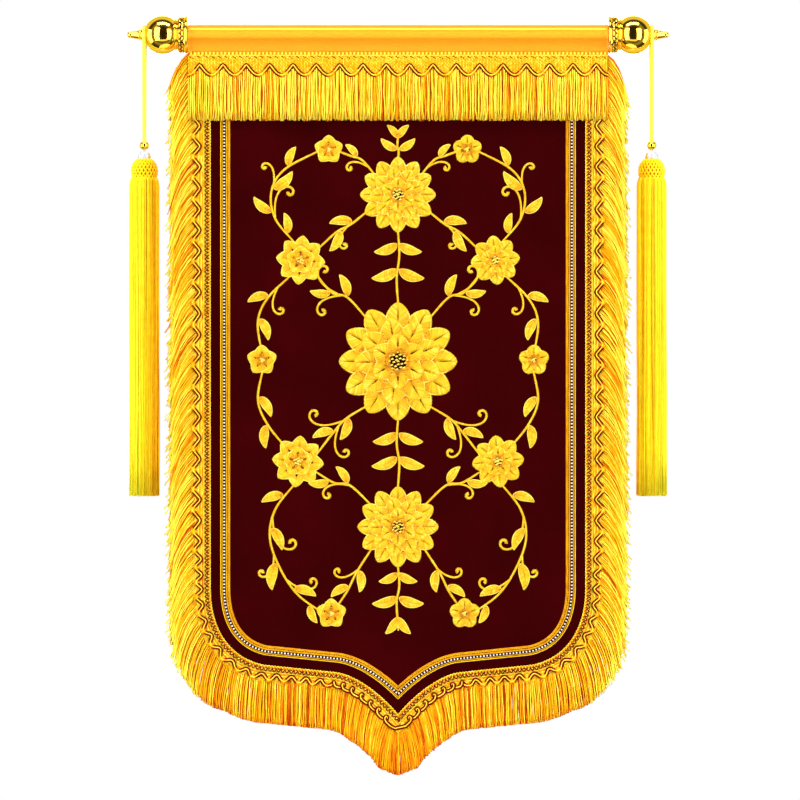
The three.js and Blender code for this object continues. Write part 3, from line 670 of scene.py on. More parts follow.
def lathe(profile, sides):
    """A solid of revolution about Z: (radius, height) rows that start and end on the axis."""
    profile = np.asarray(profile, float)
    angles = 2 * np.pi * np.arange(sides) / sides
    radius, height = profile[1:-1, :1], profile[1:-1, 1:]
    ring = np.stack(np.broadcast_arrays(radius * np.cos(angles), radius * np.sin(angles), height),
                    axis=-1).reshape(-1, 3)
    ends = np.array([[0, 0, profile[0, 1]], [0, 0, profile[-1, 1]]])
    walls = grid_faces(len(radius), sides, wrap=True)[:, ::-1]
    around = np.arange(sides)
    first = np.stack([np.roll(around, -1), around, np.full(sides, len(ring))], axis=1)
    top = around + (len(radius) - 1) * sides
    last = np.stack([top, np.roll(top, -1), np.full(sides, len(ring) + 1)], axis=1)
    return np.concatenate([ring, ends]), [walls, np.concatenate([first, last])]


def arc(centre, radius, start, end, steps):
    """(radius, height) rows of a round stretch, with its angles in degrees from outwards."""
    angles = np.radians(np.linspace(start, end, steps))
    return [(centre[0] + radius * math.cos(a), centre[1] + radius * math.sin(a)) for a in angles]


# Lines in the banner's plane

def bezier(controls):
    a, b, c, d = (np.array(p, float) for p in controls)
    t = shares(BEND_STEPS + 1)[:, None]
    return (1 - t) ** 3 * a + 3 * (1 - t) ** 2 * t * b + 3 * (1 - t) * t ** 2 * c + t ** 3 * d


def rounded(points, per_span=5):
    """A smooth line through points."""
    points = np.asarray(points, float)
    padded = np.concatenate([[2 * points[0] - points[1]], points, [2 * points[-1] - points[-2]]])
    t = shares(per_span + 1)[:-1, None]
    spans = []
    for a, b, c, d in zip(padded, padded[1:], padded[2:], padded[3:]):
        spans.append(0.5 * (2 * b + (c - a) * t + (2 * a - 5 * b + 4 * c - d) * t ** 2
                            + (3 * b - a - 3 * c + d) * t ** 3))
    return np.concatenate(spans + [points[-1:]])


def distances(points):
    """How far along a line each of its points is."""
    return np.concatenate([[0], np.cumsum(np.linalg.norm(np.diff(points, axis=0), axis=1))])


def read(values, known, at):
    """Rows of values, which are known at some distances, at other distances."""
    return np.stack([np.interp(at, known, column) for column in values.T], axis=-1)


def spaced(points, share):
    """Points of a line at shares of its length."""
    run = distances(points)
    return read(points, run, np.asarray(share) * run[-1])


def right_of(ahead):
    """Directions turned a quarter clockwise, seen from the front."""
    return np.stack([ahead[:, 1], -ahead[:, 0]], axis=1)


def both_halves(half):
    """A whole line from its right half, which starts on the middle."""
    return np.concatenate([half[:0:-1] * (-1, 1), half])


def offset_foot(distance):
    """Half of the foot's line moved outwards, from the middle to the side's foot."""
    line = np.concatenate([bezier(b)[(i > 0):] for i, b in enumerate(FOOT_BENDS)])
    line = line + distance * right_of(unit(np.gradient(line, axis=0)))
    while line[1, 0] < 0:
        line = line[1:]
    slope = (line[1, 1] - line[0, 1]) / (line[1, 0] - line[0, 0])
    middle = np.array([[0, line[0, 1] - line[0, 0] * slope]])
    return np.concatenate([middle, line[1:] if line[0, 0] < 0 else line])


def edge_line(distance, top, foot_steps=110, side_steps=60):
    """The whole edge line moved outwards, from the left top round the foot to the right top."""
    foot = spaced(offset_foot(distance), shares(foot_steps + 1))
    side = np.linspace(foot[-1], (EDGE_HALF_WIDTH + distance, top), side_steps + 1)[1:]
    return both_halves(np.concatenate([foot, side]))


class Track:
    """A line in the banner's plane, read by the distance along it."""

    def __init__(self, points, soften=0.0):
        self.points = points
        self.run = distances(points)
        self.length = self.run[-1]
        ahead = unit(np.gradient(points, self.run, axis=0))
        if soften:
            ahead = self.softened(ahead, soften)
        self.outward = right_of(ahead)

    def softened(self, ahead, reach, steps=2000):
        """Directions averaged over a reach each way, so a sharp turn becomes a fan."""
        even = np.linspace(0, self.length, steps)
        width = max(int(reach / self.length * steps), 1)
        kernel = np.hanning(2 * width + 3)[1:-1]
        rows = np.pad(read(ahead, self.run, even), ((width, width), (0, 0)), mode="edge").T
        smooth = [np.convolve(row, kernel / kernel.sum(), mode="valid") for row in rows]
        return unit(read(np.stack(smooth, axis=1), even, self.run))

    def at(self, run):
        """Places and outward directions at distances along the line."""
        return read(self.points, self.run, run), unit(read(self.outward, self.run, run))


def in_plane(places, depth):
    """(x, z) places with a depth, as points."""
    depth = np.broadcast_to(depth, places.shape[:-1])
    return np.stack([places[..., 0], depth, places[..., 1]], axis=-1)


def grid(x, y, z):
    """Points from coordinates of any shapes that fit together."""
    return np.stack(np.broadcast_arrays(x, y, z), axis=-1)


def smoothstep(value, low, high):
    t = np.clip((value - low) / (high - low), 0, 1)
    return t * t * (3 - 2 * t)


PANEL_FOOT_LINE = offset_foot(PANEL_UNDERLAP)


def panel_surface(x, z):
    """How far the velvet's front stands forward of its flat place."""
    foot = np.interp(np.abs(x), PANEL_FOOT_LINE[:, 0], PANEL_FOOT_LINE[:, 1])
    low = foot + FOLD_FOOT_CLEARANCE
    fade = ((1 - smoothstep(np.abs(x), FOLD_HALF_WIDTH - FOLD_FADE, FOLD_HALF_WIDTH))
            * (1 - smoothstep(z, FOLD_TOP - FOLD_FADE, FOLD_TOP))
            * smoothstep(z, low, low + FOLD_FADE))
    total = 0
    for start, end, spread, rise in FOLDS:
        way = np.array(end) - start
        share = np.clip(((x - start[0]) * way[0] + (z - start[1]) * way[1]) / (way @ way), 0, 1)
        gap = np.hypot(x - start[0] - share * way[0], z - start[1] - share * way[1])
        total = total + rise * np.exp(-((gap / spread) ** 2))
    return total * fade


# Cloth

def sheet_between(front, back):
    """A closed sheet from two grids of (i, j, 3) points."""
    rows, columns, _ = front.shape
    count = rows * columns
    walls = grid_faces(rows, columns, wrap=False)
    index = np.arange(count).reshape(rows, columns)
    rim = np.concatenate([index[0], index[1:, -1], index[-1, -2::-1], index[-2:0:-1, 0]])
    after = np.roll(rim, -1)
    edge = np.stack([rim, after, after + count, rim + count], axis=1)
    points = np.concatenate([front.reshape(-1, 3), back.reshape(-1, 3)])
    return points, [np.concatenate([walls, walls[:, ::-1] + count, edge])]


def add_tape(name, flat, back, thickness, look, **style):
    """A woven tape from a grid of (x, z) places."""
    points, faces = sheet_between(in_plane(flat, back - thickness), in_plane(flat, back))
    return add_piece(name, points, faces, look, **style)


def ribbon(inner, outer):
    """A grid of places between two lines."""
    return (inner[:, None] + (outer - inner)[:, None] * shares(3)[:, None])[::-1]


def add_panel(look):
    """The velvet with its folds, its flat size and its flat area."""
    foot = both_halves(spaced(PANEL_FOOT_LINE, shares(PANEL_COLUMNS + 1)))
    x = foot[:, 0]
    height = PANEL_TOP - foot[:, 1]
    z = PANEL_TOP - height * shares(PANEL_ROWS + 1)[:, None]
    y = PANEL_FRONT - panel_surface(x, z)
    points, faces = sheet_between(grid(x, y, z), grid(x, y + PANEL_CLOTH, z))
    panel = add_piece("velvet_panel", points, faces, look, node="panel")
    area = np.sum((height[1:] + height[:-1]) / 2 * np.diff(x))
    return panel, (2 * x[-1] * MM, height.max() * MM), area * MM * MM


def sleeve_section(radius):
    """The round of the sleeve, from one side of its seam to the other, as (y, z) points."""
    seam = np.array(SLEEVE_SEAM)
    down = math.atan2(seam[1], seam[0])
    opening = math.acos(SLEEVE_RADIUS / np.hypot(*seam))
    angles = np.linspace(down + opening, down + 2 * np.pi - opening, SLEEVE_STEPS)
    return radius * np.stack([np.cos(angles), np.sin(angles)], axis=1)


def add_sleeve(look):
    """The satin round the rod, with slight ripples low on its front, and its flat size."""
    seam = np.array(SLEEVE_SEAM)
    inner_radius = SLEEVE_RADIUS - SLEEVE_CLOTH
    back, front = (seam[0] + way * SLEEVE_CLOTH / 2 for way in BOTH)
    outer = sleeve_section(SLEEVE_RADIUS)
    tail = [(back, SLEEVE_TAIL_TOP), (back, SLEEVE_TAIL_BOTTOM),
            (front, SLEEVE_TAIL_BOTTOM), (front, SLEEVE_TAIL_TOP)]
    section = np.concatenate([outer, tail])
    opening = np.concatenate([sleeve_section(inner_radius),
                              [seam * inner_radius / SLEEVE_RADIUS]])
    along = np.linspace(-SLEEVE_HALF_LENGTH, SLEEVE_HALF_LENGTH, SLEEVE_ROWS)[:, None]
    ripple = sum(size * np.sin(along / length + start) for size, length, start in SLEEVE_RIPPLES)
    low = smoothstep(section[:, 1], *RIPPLE_FADE) * (section[:, 1] > RIPPLE_FOOT)
    shell = grid(along, section[:, 0] - ripple * low, section[:, 1])
    points, faces = sleeve_tube(shell, grid(along, opening[:, 0], opening[:, 1]))
    sleeve = add_piece("satin_sleeve", points, faces, look, node="rod_sleeve")
    girth = distances(outer)[-1] + 2 * np.linalg.norm(seam - outer[0]) - SLEEVE_OVERLAP
    girth += seam[1] - SLEEVE_TAIL_BOTTOM
    return sleeve, (2 * SLEEVE_HALF_LENGTH * MM, girth * MM)


def sleeve_tube(shell, hole):
    """Joins the sleeve's outside and inside, with flat ends between them."""
    rows, outer, _ = shell.shape
    inner = hole.shape[1]
    first = rows * outer
    walls = grid_faces(rows, outer, wrap=True)
    lining = grid_faces(rows, inner, wrap=True)[:, ::-1] + first
    last = SLEEVE_STEPS - 1
    ends = []
    for row, flip in ((0, 1), (rows - 1, -1)):
        o, i = row * outer, first + row * inner
        quads = [(o + k, i + k, i + k + 1, o + k + 1) for k in range(last)]
        quads.append((o + last, i + last, i + last + 1, o + last + 1))
        quads.append((o + last + 1, i + last + 1, i, o))
        quads.append((o, o + outer - 1, o + outer - 2, o + outer - 3))
        ends += [q[::flip] for q in quads]
    points = np.concatenate([shell.reshape(-1, 3), hole.reshape(-1, 3)])
    return points, [np.concatenate([walls, lining, np.array(ends)])]


# Edge trim

def noisy(tone, spread, shape):
    """Tones with a random difference from one thread or point to the next."""
    return tone + random.normal(0, spread, shape)


def along_edge(distance, soften=HEADING_TURN, **steps):
    return Track(edge_line(distance, HEADING_TOP, **steps), soften)


def strand_pair(track, depth, half_width, pitch):
    """Two strands that twist round each other along a line, as one row of a plait."""
    turns = int(track.length / (2 * pitch))
    run = np.linspace(0, track.length, turns * 6 + 1)
    place, outward = track.at(run)
    strands = []
    for start in (0, np.pi):
        angle = 2 * np.pi * turns * run / track.length + start
        side = place + outward * (half_width * 0.55 * np.cos(angle))[:, None]
        strands.append(in_plane(side, depth - half_width * 0.5 * np.sin(angle)))
    return np.stack(strands)


def looped(track, height, pitch):
    """A line of small loops that lean over each other, and how deep each point lies."""
    turns = int(track.length / pitch)
    phase = np.linspace(0, 2 * np.pi * turns, turns * 8 + 1)
    run = phase / phase[-1] * track.length + 0.3 * pitch * np.sin(phase)
    place, outward = track.at(run)
    return place - outward * (height * np.cos(phase))[:, None], 0.5 * np.sin(phase)


def add_edge_heading(gold, dark):
    """The tape that carries the fringe: ribs, picot loops and a plaited row with its marks."""
    flat = ribbon(*(edge_line(d, HEADING_TOP) for d in (HEADING_INNER, HEADING_WIDTH)))
    tape = add_tape("edge_heading", flat, TRIM_BACK, HEADING_TAPE, gold, tone=0.3, smooth=False)
    steps = RIBS["steps"]
    ribs = np.stack([in_plane(edge_line(d, HEADING_TOP, steps, steps), TRIM_BACK - RIBS["front"])
                     for d in RIB_OFFSETS])
    ribbed = add_tubes("edge_ribs", ribs, RIBS["radius"], gold,
                       noisy(np.array(RIB_TONES)[:, None], 0.2, ribs.shape[:2]))
    place, lift = looped(along_edge(EDGE_PICOTS["offset"]), EDGE_PICOTS["height"],
                         EDGE_PICOTS["pitch"])
    line = in_plane(place, TRIM_BACK - EDGE_PICOTS["front"] - lift)
    picots = add_tubes("edge_picots", line[None], EDGE_PICOTS["radius"], gold,
                       noisy(0.85, 0.12, (1, len(place))))
    strands = strand_pair(along_edge(PLAIT["offset"]), TRIM_BACK - PLAIT["front"],
                          PLAIT["half_width"], PLAIT["pitch"])
    plait = add_tubes("edge_plait", strands, PLAIT["radius"], gold, PLAIT_TONES)
    return [tape, ribbed, picots, plait] + add_edge_marks(dark)


def add_edge_marks(dark):
    """A dark zigzag thread on the plait, and dark stitches between it and the picots."""
    track = along_edge(ZIGZAG["offset"])
    count = 4 * int(track.length / ZIGZAG["pitch"]) + 1
    quarter = np.arange(count) * np.pi / 2
    place, outward = track.at(np.linspace(0, track.length, count))
    line = in_plane(place + outward * (ZIGZAG["swing"] * np.sin(quarter))[:, None],
                    TRIM_BACK - ZIGZAG["front"])
    tone = noisy(0.05 + 0.15 * np.sin(quarter + 0.8), 0.2, count)
    zigzag = add_tubes("edge_zigzag", line[None], ZIGZAG["radius"], dark, tone[None])
    track = along_edge(DOTS["offset"])
    middles = np.arange(DOTS["pitch"], track.length, DOTS["pitch"])
    across = DOTS["reach"] * np.array([-1, 0, 1])
    place, outward = track.at((middles[:, None] + across).ravel())
    place = place + outward * np.tile(across, len(middles))[:, None]
    depth = TRIM_BACK - DOTS["front"] - DOTS["bulge"] * (np.arange(len(place)) % 3 == 1)
    dots = in_plane(place, depth).reshape(-1, 3, 3)
    return [zigzag, add_tubes("edge_dots", dots, DOTS["radius"], dark,
                              noisy(0.05, 0.15, len(dots)))]


def scroll_path():
    """The wave of the scroll cord along the edge heading, and how far its edging, painted shade
    beside the cord, fades.
    """
    track = along_edge(0.0, SCROLL_TURN, foot_steps=240, side_steps=120)
    middle = track.length / 2
    along = np.arange(0, middle - (HEADING_TOP - SCROLL_TOP), 0.5)
    sizes = {name: np.interp(along, SCROLL_WAVES["run"], row)
             for name, row in SCROLL_WAVES.items()}
    waves = np.concatenate([[0], np.cumsum(0.5 / sizes["pitch"])[:-1]])
    turn = np.arange(0, int(waves[-1]) * SCROLL_STEPS) / SCROLL_STEPS
    phase = 2 * np.pi * turn
    at = {name: np.interp(turn, waves, row) for name, row in sizes.items()}
    whole = np.arange(int(waves[-1]) + 2)
    uneven = np.interp(turn, whole, random.normal(0, 1, len(whole)))
    run = np.interp(turn, waves, along) + 0.8 * uneven
    wave = np.cos(phase) + at["sharpness"] * np.cos(3 * phase)
    reach = at["offset"] + at["swing"] * wave * (1 + 0.05 * uneven)
    lift = 0.16 * at["loop"] * np.sin(phase)
    halves = []
    for side in BOTH:
        place, outward = track.at(middle + side * (run + at["loop"] * np.sin(phase)))
        halves.append(in_plane(place + outward * reach[:, None], TRIM_FRONT - 1.3 - lift))
    fading = smoothstep(wave, 0.3, 0.95) * (1 - at["loop"] / np.max(at["loop"]))
    return (np.concatenate([halves[1][:0:-1], halves[0]]),
            np.concatenate([fading[:0:-1], fading]))


def add_scroll(name, line, width, fading, gold, dark):
    """A waved cord with a dark thread along each side as painted shade, which fades into it at
    the outer turns.
    """
    cord = add_tubes(name, line[None], width * 0.29, gold, noisy(0.85, 0.06, (1, len(line))),
                     sides=6, node=name + "_cord")
    edges = np.stack([line + way * width * 0.5 * sideways(line) for way in BOTH])
    edges[..., 1] += 0.25
    # The dark edging paints the shade beside the raised cord, and fades where the cord turns
    # outwards.
    tone = noisy(0.06 + 0.9 * fading, 0.14, (2, len(line)))
    return [cord, add_tubes(name + "_edging", edges, EDGING_RADIUS, dark, tone, sides=4)]


def bundles(spines, layer):
    """Threads that twist round each strand's middle line, and a tone for each of their points,
    with painted light and shade.
    """
    count, steps, _ = spines.shape
    share = shares(steps)
    start = random.uniform(0, 2 * np.pi, (count, 1, 1))
    angle = start + 2 * np.pi * np.arange(STRAND_THREADS)[:, None] / STRAND_THREADS
    angle = angle + STRAND_TWIST * share
    reach = layer["bundle"] * (0.8 + 0.6 * share ** 3)
    reach = reach * random.uniform(0.8, 1.2, (count, STRAND_THREADS, 1))
    lines = (spines[:, None] + sideways(spines)[:, None] * (reach * np.cos(angle))[..., None]
             + FORWARD * (0.8 * reach * np.sin(angle))[..., None])
    # Painted light and shade: threads that face forward are lighter, threads on the strand's
    # flanks darker.
    tone = layer["tone"] + 0.16 * np.sin(angle) - 0.1 * np.cos(angle) ** 2
    # Painted shade: a share of strands is made deep, as the shade between strands.
    shade = random.uniform(0, 1, (count, 1, 1)) < SHADED_STRAND_SHARE
    tone = noisy(tone, layer["spread"], (count, 1, 1)) - 0.4 * shade
    tone = noisy(tone, 0.07, (count, STRAND_THREADS, 1))
    return lines.reshape(-1, steps, 3), tone.reshape(-1, steps)


def wave_across(spines, size):
    """Lets strands sway a little across their length, each in its own way."""
    count, steps, _ = spines.shape
    share = shares(steps)
    phase = random.uniform(0, 2 * np.pi, (count, 1))
    wave = np.sin(share * 7 + phase) - np.sin(phase) + random.normal(0, 0.7, (count, 1)) * share
    return spines + sideways(spines) * (size * wave * share ** 0.5)[..., None]


def strand_places(track, shift, steps=1600):
    """Where strands start along the edge: closer together at the foot, and most at its point."""
    even = np.linspace(0, track.length, steps)
    across = np.abs(track.at(even)[0][:, 0])
    density = 1 / np.interp(across, FRINGE_PITCH["x"], FRINGE_PITCH["pitch"])
    count = np.cumsum(density) * track.length / steps
    at = np.arange(0.6, count[-1] - 0.6) + shift
    return np.interp(at + random.uniform(-0.25, 0.25, len(at)), count, even)


def edge_spines(track, run, layer):
    """Strands that leave the edge sideways and bend down, with small hooks at the side ends."""
    place, outward = track.at(run)
    angle = np.arctan2(outward[:, 0], -outward[:, 1])
    turned = np.degrees(np.abs(angle))
    at_side = smoothstep(turned, 40, 75)
    root, length = (np.interp(turned, FRINGE_SIZES["angle"], FRINGE_SIZES[name])
                    for name in ("root", "length"))
    end = np.minimum(run, track.length - run)
    place = place + outward * (root + TOP_REACH[0] * np.exp(-end / TOP_REACH[1]))[:, None]
    length = length - np.interp(np.abs(place[:, 0]), POINT_TRIM["x"], POINT_TRIM["length"])
    length = length - TOP_TRIM[0] * np.exp(-end / TOP_TRIM[1])
    length = length * (1 - (1 - layer["reach"]) * at_side)
    length = length * (1 + random.uniform(-0.02, 0.01, len(run)) * (1 + at_side))
    share = FRINGE_SHARES
    bend = angle[:, None] * (LEAN_START + (LEAN_END - LEAN_START) * share ** 0.75)
    hooked = layer["hook"] * smoothstep(turned, 62, 88) * np.sign(angle)
    hook = random.uniform(-0.3, 0.9, len(run)) * hooked
    bend = bend + hook[:, None] * smoothstep(share, 0.8, 1.0)
    step = np.diff(share) * length[:, None]
    middle = (bend[:, 1:] + bend[:, :-1]) / 2
    x, z = (np.pad(np.cumsum(way * step, axis=1), ((0, 0), (1, 0)))
            for way in (np.sin(middle), -np.cos(middle)))
    front = layer["front"] + random.normal(0, 0.3, (len(run), 1))
    spines = grid(place[:, :1] + x, front - 1.4 * np.sin(np.pi * share ** 0.7), place[:, 1:] + z)
    return wave_across(spines, 0.7), place[:, 0], at_side


def add_edge_fringe(gold):
    """Layers of twisted strands round the banner, with painted shade: bright in front, painted
    deep behind.
    """
    track = along_edge(FRINGE_ROOT, POINT_FAN)
    found = {"left": [], "right": [], "foot": []}
    for number, layer in enumerate(FRINGE_LAYERS):
        run = strand_places(track, number / len(FRINGE_LAYERS))
        spines, x, at_side = edge_spines(track, run, layer)
        lines, tone = bundles(spines, layer)
        x = np.repeat(x, STRAND_THREADS)
        at_side = np.repeat(at_side, STRAND_THREADS)[:, None]
        # Painted shade on the foot and its point; painted light on the side strands' tips, and a
        # little painted shade on the foot's tips
        shade = FOOT_SHADE + POINT_SHADE * np.exp(-(x[:, None] / POINT_TRIM["x"][-1]) ** 2)
        tone = tone - shade * (1 - at_side) + (0.75 * at_side - 0.15) * FRINGE_SHARES ** 6
        foot = np.abs(x) < EDGE_HALF_WIDTH - SIDE_FRINGE_WIDTH
        picks = {"left": (x < 0) & ~foot, "right": (x > 0) & ~foot, "foot": foot}
        for name, pick in picks.items():
            found[name].append((lines[pick], np.full(tone[pick].shape, layer["radius"]),
                                tone[pick]))
    return [add_layers("edge_fringe_" + name, layers, gold, FRINGE_NODES.get(name))
            for name, layers in found.items()]


def add_layers(name, layers, look, node):
    lines, radii, tone = (np.concatenate(part) for part in zip(*layers))
    return add_tubes(name, lines, radii, look, tone, node=node)


# Inner braid

def add_inner_braid(gold, dark, white, black):
    """A gold cord, a twisted light and dark row and a flat braid side by side."""
    def line(offset):
        return edge_line(-BRAID_OUTER - offset, BRAID_TOP)

    def cords(name, row, look, tone):
        lines = np.stack([in_plane(line(d), row["front"]) for d in row["at"]])
        return add_tubes("inner_braid_" + name, lines, row["radius"], look, tone, row["sides"])

    pieces = [add_tape("inner_braid_base", ribbon(line(BRAID_WIDTH), line(0.0)), TRIM_BACK,
                       BRAID_TAPE, dark, node="inner_braid"),
              cords("cord", BRAID_CORDS, gold, 0.88)]
    tone = noisy(np.array(FLAT_TONES)[:, None], 0.08, (len(FLAT_TONES), len(line(0.0))))
    pieces.append(cords("flat", BRAID_FLATS, gold, tone))
    track = Track(line(DASH_ROW["at"]), BRAID_TURN)
    middles = np.arange(2, track.length - 1, DASH_ROW["pitch"])[:, None]
    place, _ = track.at((middles + DASH_REACH).ravel())
    dashes = in_plane(place, DASH_ROW["front"]).reshape(-1, 2, 3)
    pieces.append(add_tubes("inner_braid_dashes", dashes, DASH_ROW["radius"], dark, 0.1))
    pieces.append(cords("seams", BRAID_SEAMS, dark, 0.1))
    track = Track(line(BEAD_ROW["at"]), BRAID_TURN)
    middles = np.arange(1.5, track.length - 2, BEAD_ROW["pitch"])[:, None]
    for look, (name, start, aside, size) in zip((white, black), BEADS):
        run = middles + start * BEAD_ROW["pitch"] + np.array(BEAD_STEPS) * size / 1.2
        place, outward = track.at(run.ravel())
        beads = in_plane(place + aside * outward, BEAD_ROW["front"]).reshape(-1, 4, 3)
        pieces.append(add_tubes("inner_braid_" + name, beads, size * np.array(BEAD_SWELL), look,
                                sides=5))
    return pieces


# Valance

def valance_phase(x):
    return 2 * np.pi * VALANCE_WAVES * (x / (2 * VALANCE_HALF_WIDTH) + 0.5)


def valance_scallop(x):
    """Height of the scalloped cord: pointed crests, round troughs."""
    wave = 1 - 2 * np.sqrt(np.cos(valance_phase(x) / 2) ** 2 + 0.006)
    return VALANCE_WAVE_MIDDLE + VALANCE_WAVE_SWING * wave


def across_valance(steps, inset=0.0):
    return np.linspace(inset - VALANCE_HALF_WIDTH, VALANCE_HALF_WIDTH - inset, steps)


def add_valance(gold, dark, cord, edging):
    tape = VALANCE_TAPE
    rows = np.array([tape["top"], tape["foot"]])[:, None]
    flat = np.stack(np.broadcast_arrays(across_valance(tape["columns"]), rows), axis=-1)
    pieces = [add_tape("valance_heading", flat, VALANCE_BACK, tape["thickness"], gold, tone=0.3,
                       smooth=False)]
    pieces.append(add_valance_ribs(gold))
    pieces += add_picots(gold, dark)
    x = across_valance(VALANCE_WAVES * 20 + 1)
    # How far the valance scroll's edging, its painted shade, fades along the waves
    fading = 0.75 * smoothstep(np.cos(valance_phase(x) - 0.9), -0.2, 0.9)
    pieces += add_scroll("valance_scroll", grid(x, VALANCE_FRONT - 1.4, valance_scallop(x)),
                         VALANCE_SCROLL_WIDTH, fading, cord, edging)
    return pieces + [add_valance_fringe(gold)]


def add_valance_ribs(gold):
    """Upright ribs of the woven heading, lighter and darker in turn where the weft crosses."""
    ribs = VALANCE_RIBS
    x = np.arange(-VALANCE_HALF_WIDTH + 1.2, VALANCE_HALF_WIDTH - 1, ribs["pitch"])[:, None]
    top, rows = ribs["top"], ribs["rows"]
    weft = (np.arange(len(x))[:, None] + np.arange(rows)) % 2
    z = top + (valance_scallop(x) - 1 - top) * shares(rows)
    lines = grid(x, VALANCE_BACK - ribs["front"] - ribs["weft"] * weft, z)
    return add_tubes("valance_ribs", lines, 1.0, gold, noisy(0.68 + 0.22 * weft, 0.1, z.shape))


def add_picots(gold, dark):
    """Small loops along the valance's top, and a dark dashed thread under them."""
    picots, dashes = VALANCE_PICOTS, VALANCE_DASHES
    count = int(2 * VALANCE_HALF_WIDTH / picots["pitch"])
    phase = np.linspace(0, 2 * np.pi * count, count * 10 + 1)
    x = (phase / phase[-1] - 0.5) * (2 * VALANCE_HALF_WIDTH - 3) + picots["lean"] * np.sin(phase)
    loops = grid(x, VALANCE_FRONT + 0.9 - 0.5 * np.sin(phase),
                 picots["z"] - picots["height"] * np.cos(phase))
    second = loops + (picots["pitch"] / 2, 0.9, -picots["drop"])
    second[:, 0] = np.clip(second[:, 0], 1 - VALANCE_HALF_WIDTH, VALANCE_HALF_WIDTH - 1)
    row = add_tubes("valance_picots", np.stack([loops, second]), 1.0, gold, (0.95, 0.6), sides=4)
    x = across_valance(int(2 * VALANCE_HALF_WIDTH / dashes["pitch"]), 5)[:, None]
    t = np.linspace(-0.5, 0.5, 4)
    lines = grid(x + dashes["length"] * t, VALANCE_FRONT + 0.4,
                 dashes["z"] - dashes["fall"] * t + random.normal(0, 0.4, x.shape))
    return [row, add_tubes("valance_dashes", lines, dashes["radius"], dark, 0.3)]


def add_valance_fringe(gold):
    """Upright strands that hang from the scalloped cord, in layers like the edge fringe."""
    share = VALANCE_SHARES
    found = []
    for number, layer in enumerate(FRINGE_LAYERS):
        x = np.arange(-VALANCE_HALF_WIDTH + 1.5, VALANCE_HALF_WIDTH - 1, VALANCE_PITCH)
        x = x + number * VALANCE_PITCH / 3 + random.uniform(-0.5, 0.5, len(x))
        x = np.clip(x, 1 - VALANCE_HALF_WIDTH, VALANCE_HALF_WIDTH - 1)
        top = valance_scallop(x) + 1.0
        foot = VALANCE_FOOT + random.uniform(-1.2, 2.5, len(x))
        y = VALANCE_FRONT + 2.1 + 0.8 * layer["front"] - 1.8 * np.sin(np.pi * share ** 0.6)
        spines = grid(x[:, None], y, top[:, None] + (foot - top)[:, None] * share)
        lines, tone = bundles(wave_across(spines, 1.0), layer)
        found.append((lines, np.full(tone.shape, layer["radius"]), tone + VALANCE_TONE))
    return add_layers("valance_fringe_threads", found, gold, "valance_fringe")


# Finials, cords and tassels

def laid(points, side):
    """Turns points about Z onto the rod's axis, towards one side."""
    x, y, z = points.T
    return np.stack([side * z, side * y, x], axis=1)


def finial_profile():
    """From the bottom of the rod's socket, round the collar, ball and cord seat to the spike."""
    neck, front = (math.degrees(math.acos(r / BALL_RADIUS)) for r in (21.4, 17.0))
    rows = [(0, SOCKET_END), (SOCKET_RADIUS, SOCKET_END), (SOCKET_RADIUS, COLLAR_MOUTH + 0.4),
            (SOCKET_RADIUS + 0.4, COLLAR_MOUTH), (25.6, COLLAR_MOUTH)]
    rows += arc((25.6, COLLAR_MOUTH + 2.3), 2.3, -90, 60, 9)
    rows += [(26.5, 320.6), (26.0, 321.2)]
    rows += [(26.2, z) for z in np.linspace(321.4, 328.0, 15)]
    rows += [(25.4, 328.8), (24.2, 329.8), (22.6, 330.6), (21.9, 331.4)]
    rows += arc((21.6, 333.1), 1.6, -70, 70, 8)
    rows += [(21.0, 334.8)]
    rows += arc((0, BALL_CENTRE), BALL_RADIUS, 1.5 - neck, front - 1.5, 44)
    rows += [(16.2, 376.6), (13.0, 377.2), (10.4, 377.3), (9.1, 378.0), (9.1, 383.9)]
    rows += [(8.4, 384.8)]
    rows += arc((6.4, 387.4), 1.7, -60, 70, 8)
    rows += [(6.7, 390), (6.0, 394.4), (5.2, 397.6), (4.9, 399.5)]
    rows += arc((0, 401.6), 4.8, -14, 90, 14)
    return rows


def add_finial(name, side, gold):
    """A turned finial whose bell is embossed with rows of petals."""
    points, faces = lathe(finial_profile(), FINIAL_SIDES)
    tone = np.full(len(points), 0.72)
    x, y, z = points.T
    angle = np.arctan2(y, x)
    bell = (z > BELL["foot"]) & (z < BELL["top"]) & (np.hypot(x, y) > 20)
    height = (z - BELL["foot"]) / (BELL["top"] - BELL["foot"])
    petals = np.abs(np.sin(angle * BELL["petals"] + np.pi * (height > 0.5) / 2)) ** 0.6
    veins = np.cos(angle * BELL["veins"] + 9 * np.abs(height - 0.5))
    relief = petals * np.abs(np.sin(height * 2 * np.pi)) - 0.35 + 0.25 * veins
    points[bell, :2] *= 1 + BELL["relief"] * relief[bell, None]
    # Painted shade in the bell's hollows and painted highlight on its raised petals
    tone[bell] = np.clip(0.12 + 1.3 * relief[bell], 0, 1)
    add_piece("gold_" + name, laid(points, side), faces, gold, tone, node=name)


def add_cord(name, side, look):
    """The cord looped over the finial's neck, with both of its ends in the bead."""
    line = rounded([(side * TASSEL_X, y, z) for y, z in CORD_ROUTE])
    points, faces, thread = tubes(line[None], CORD_RADIUS, CORD_SIDES)
    # Painted light and shade: the cord is lighter on its outer side and darker on the side
    # towards the banner.
    tone = 0.7 + 0.3 * side * (points[:, 0] - side * TASSEL_X) / CORD_RADIUS
    cord = add_piece("silk_" + name, points, faces, look, np.clip(tone, 0, 1), thread, node=name)
    return cord, line[::3] * MM, distances(line)[-1] * MM


def upright(points, side):
    """Moves points about Z to where a tassel hangs."""
    return points + (side * TASSEL_X, 0, 0)


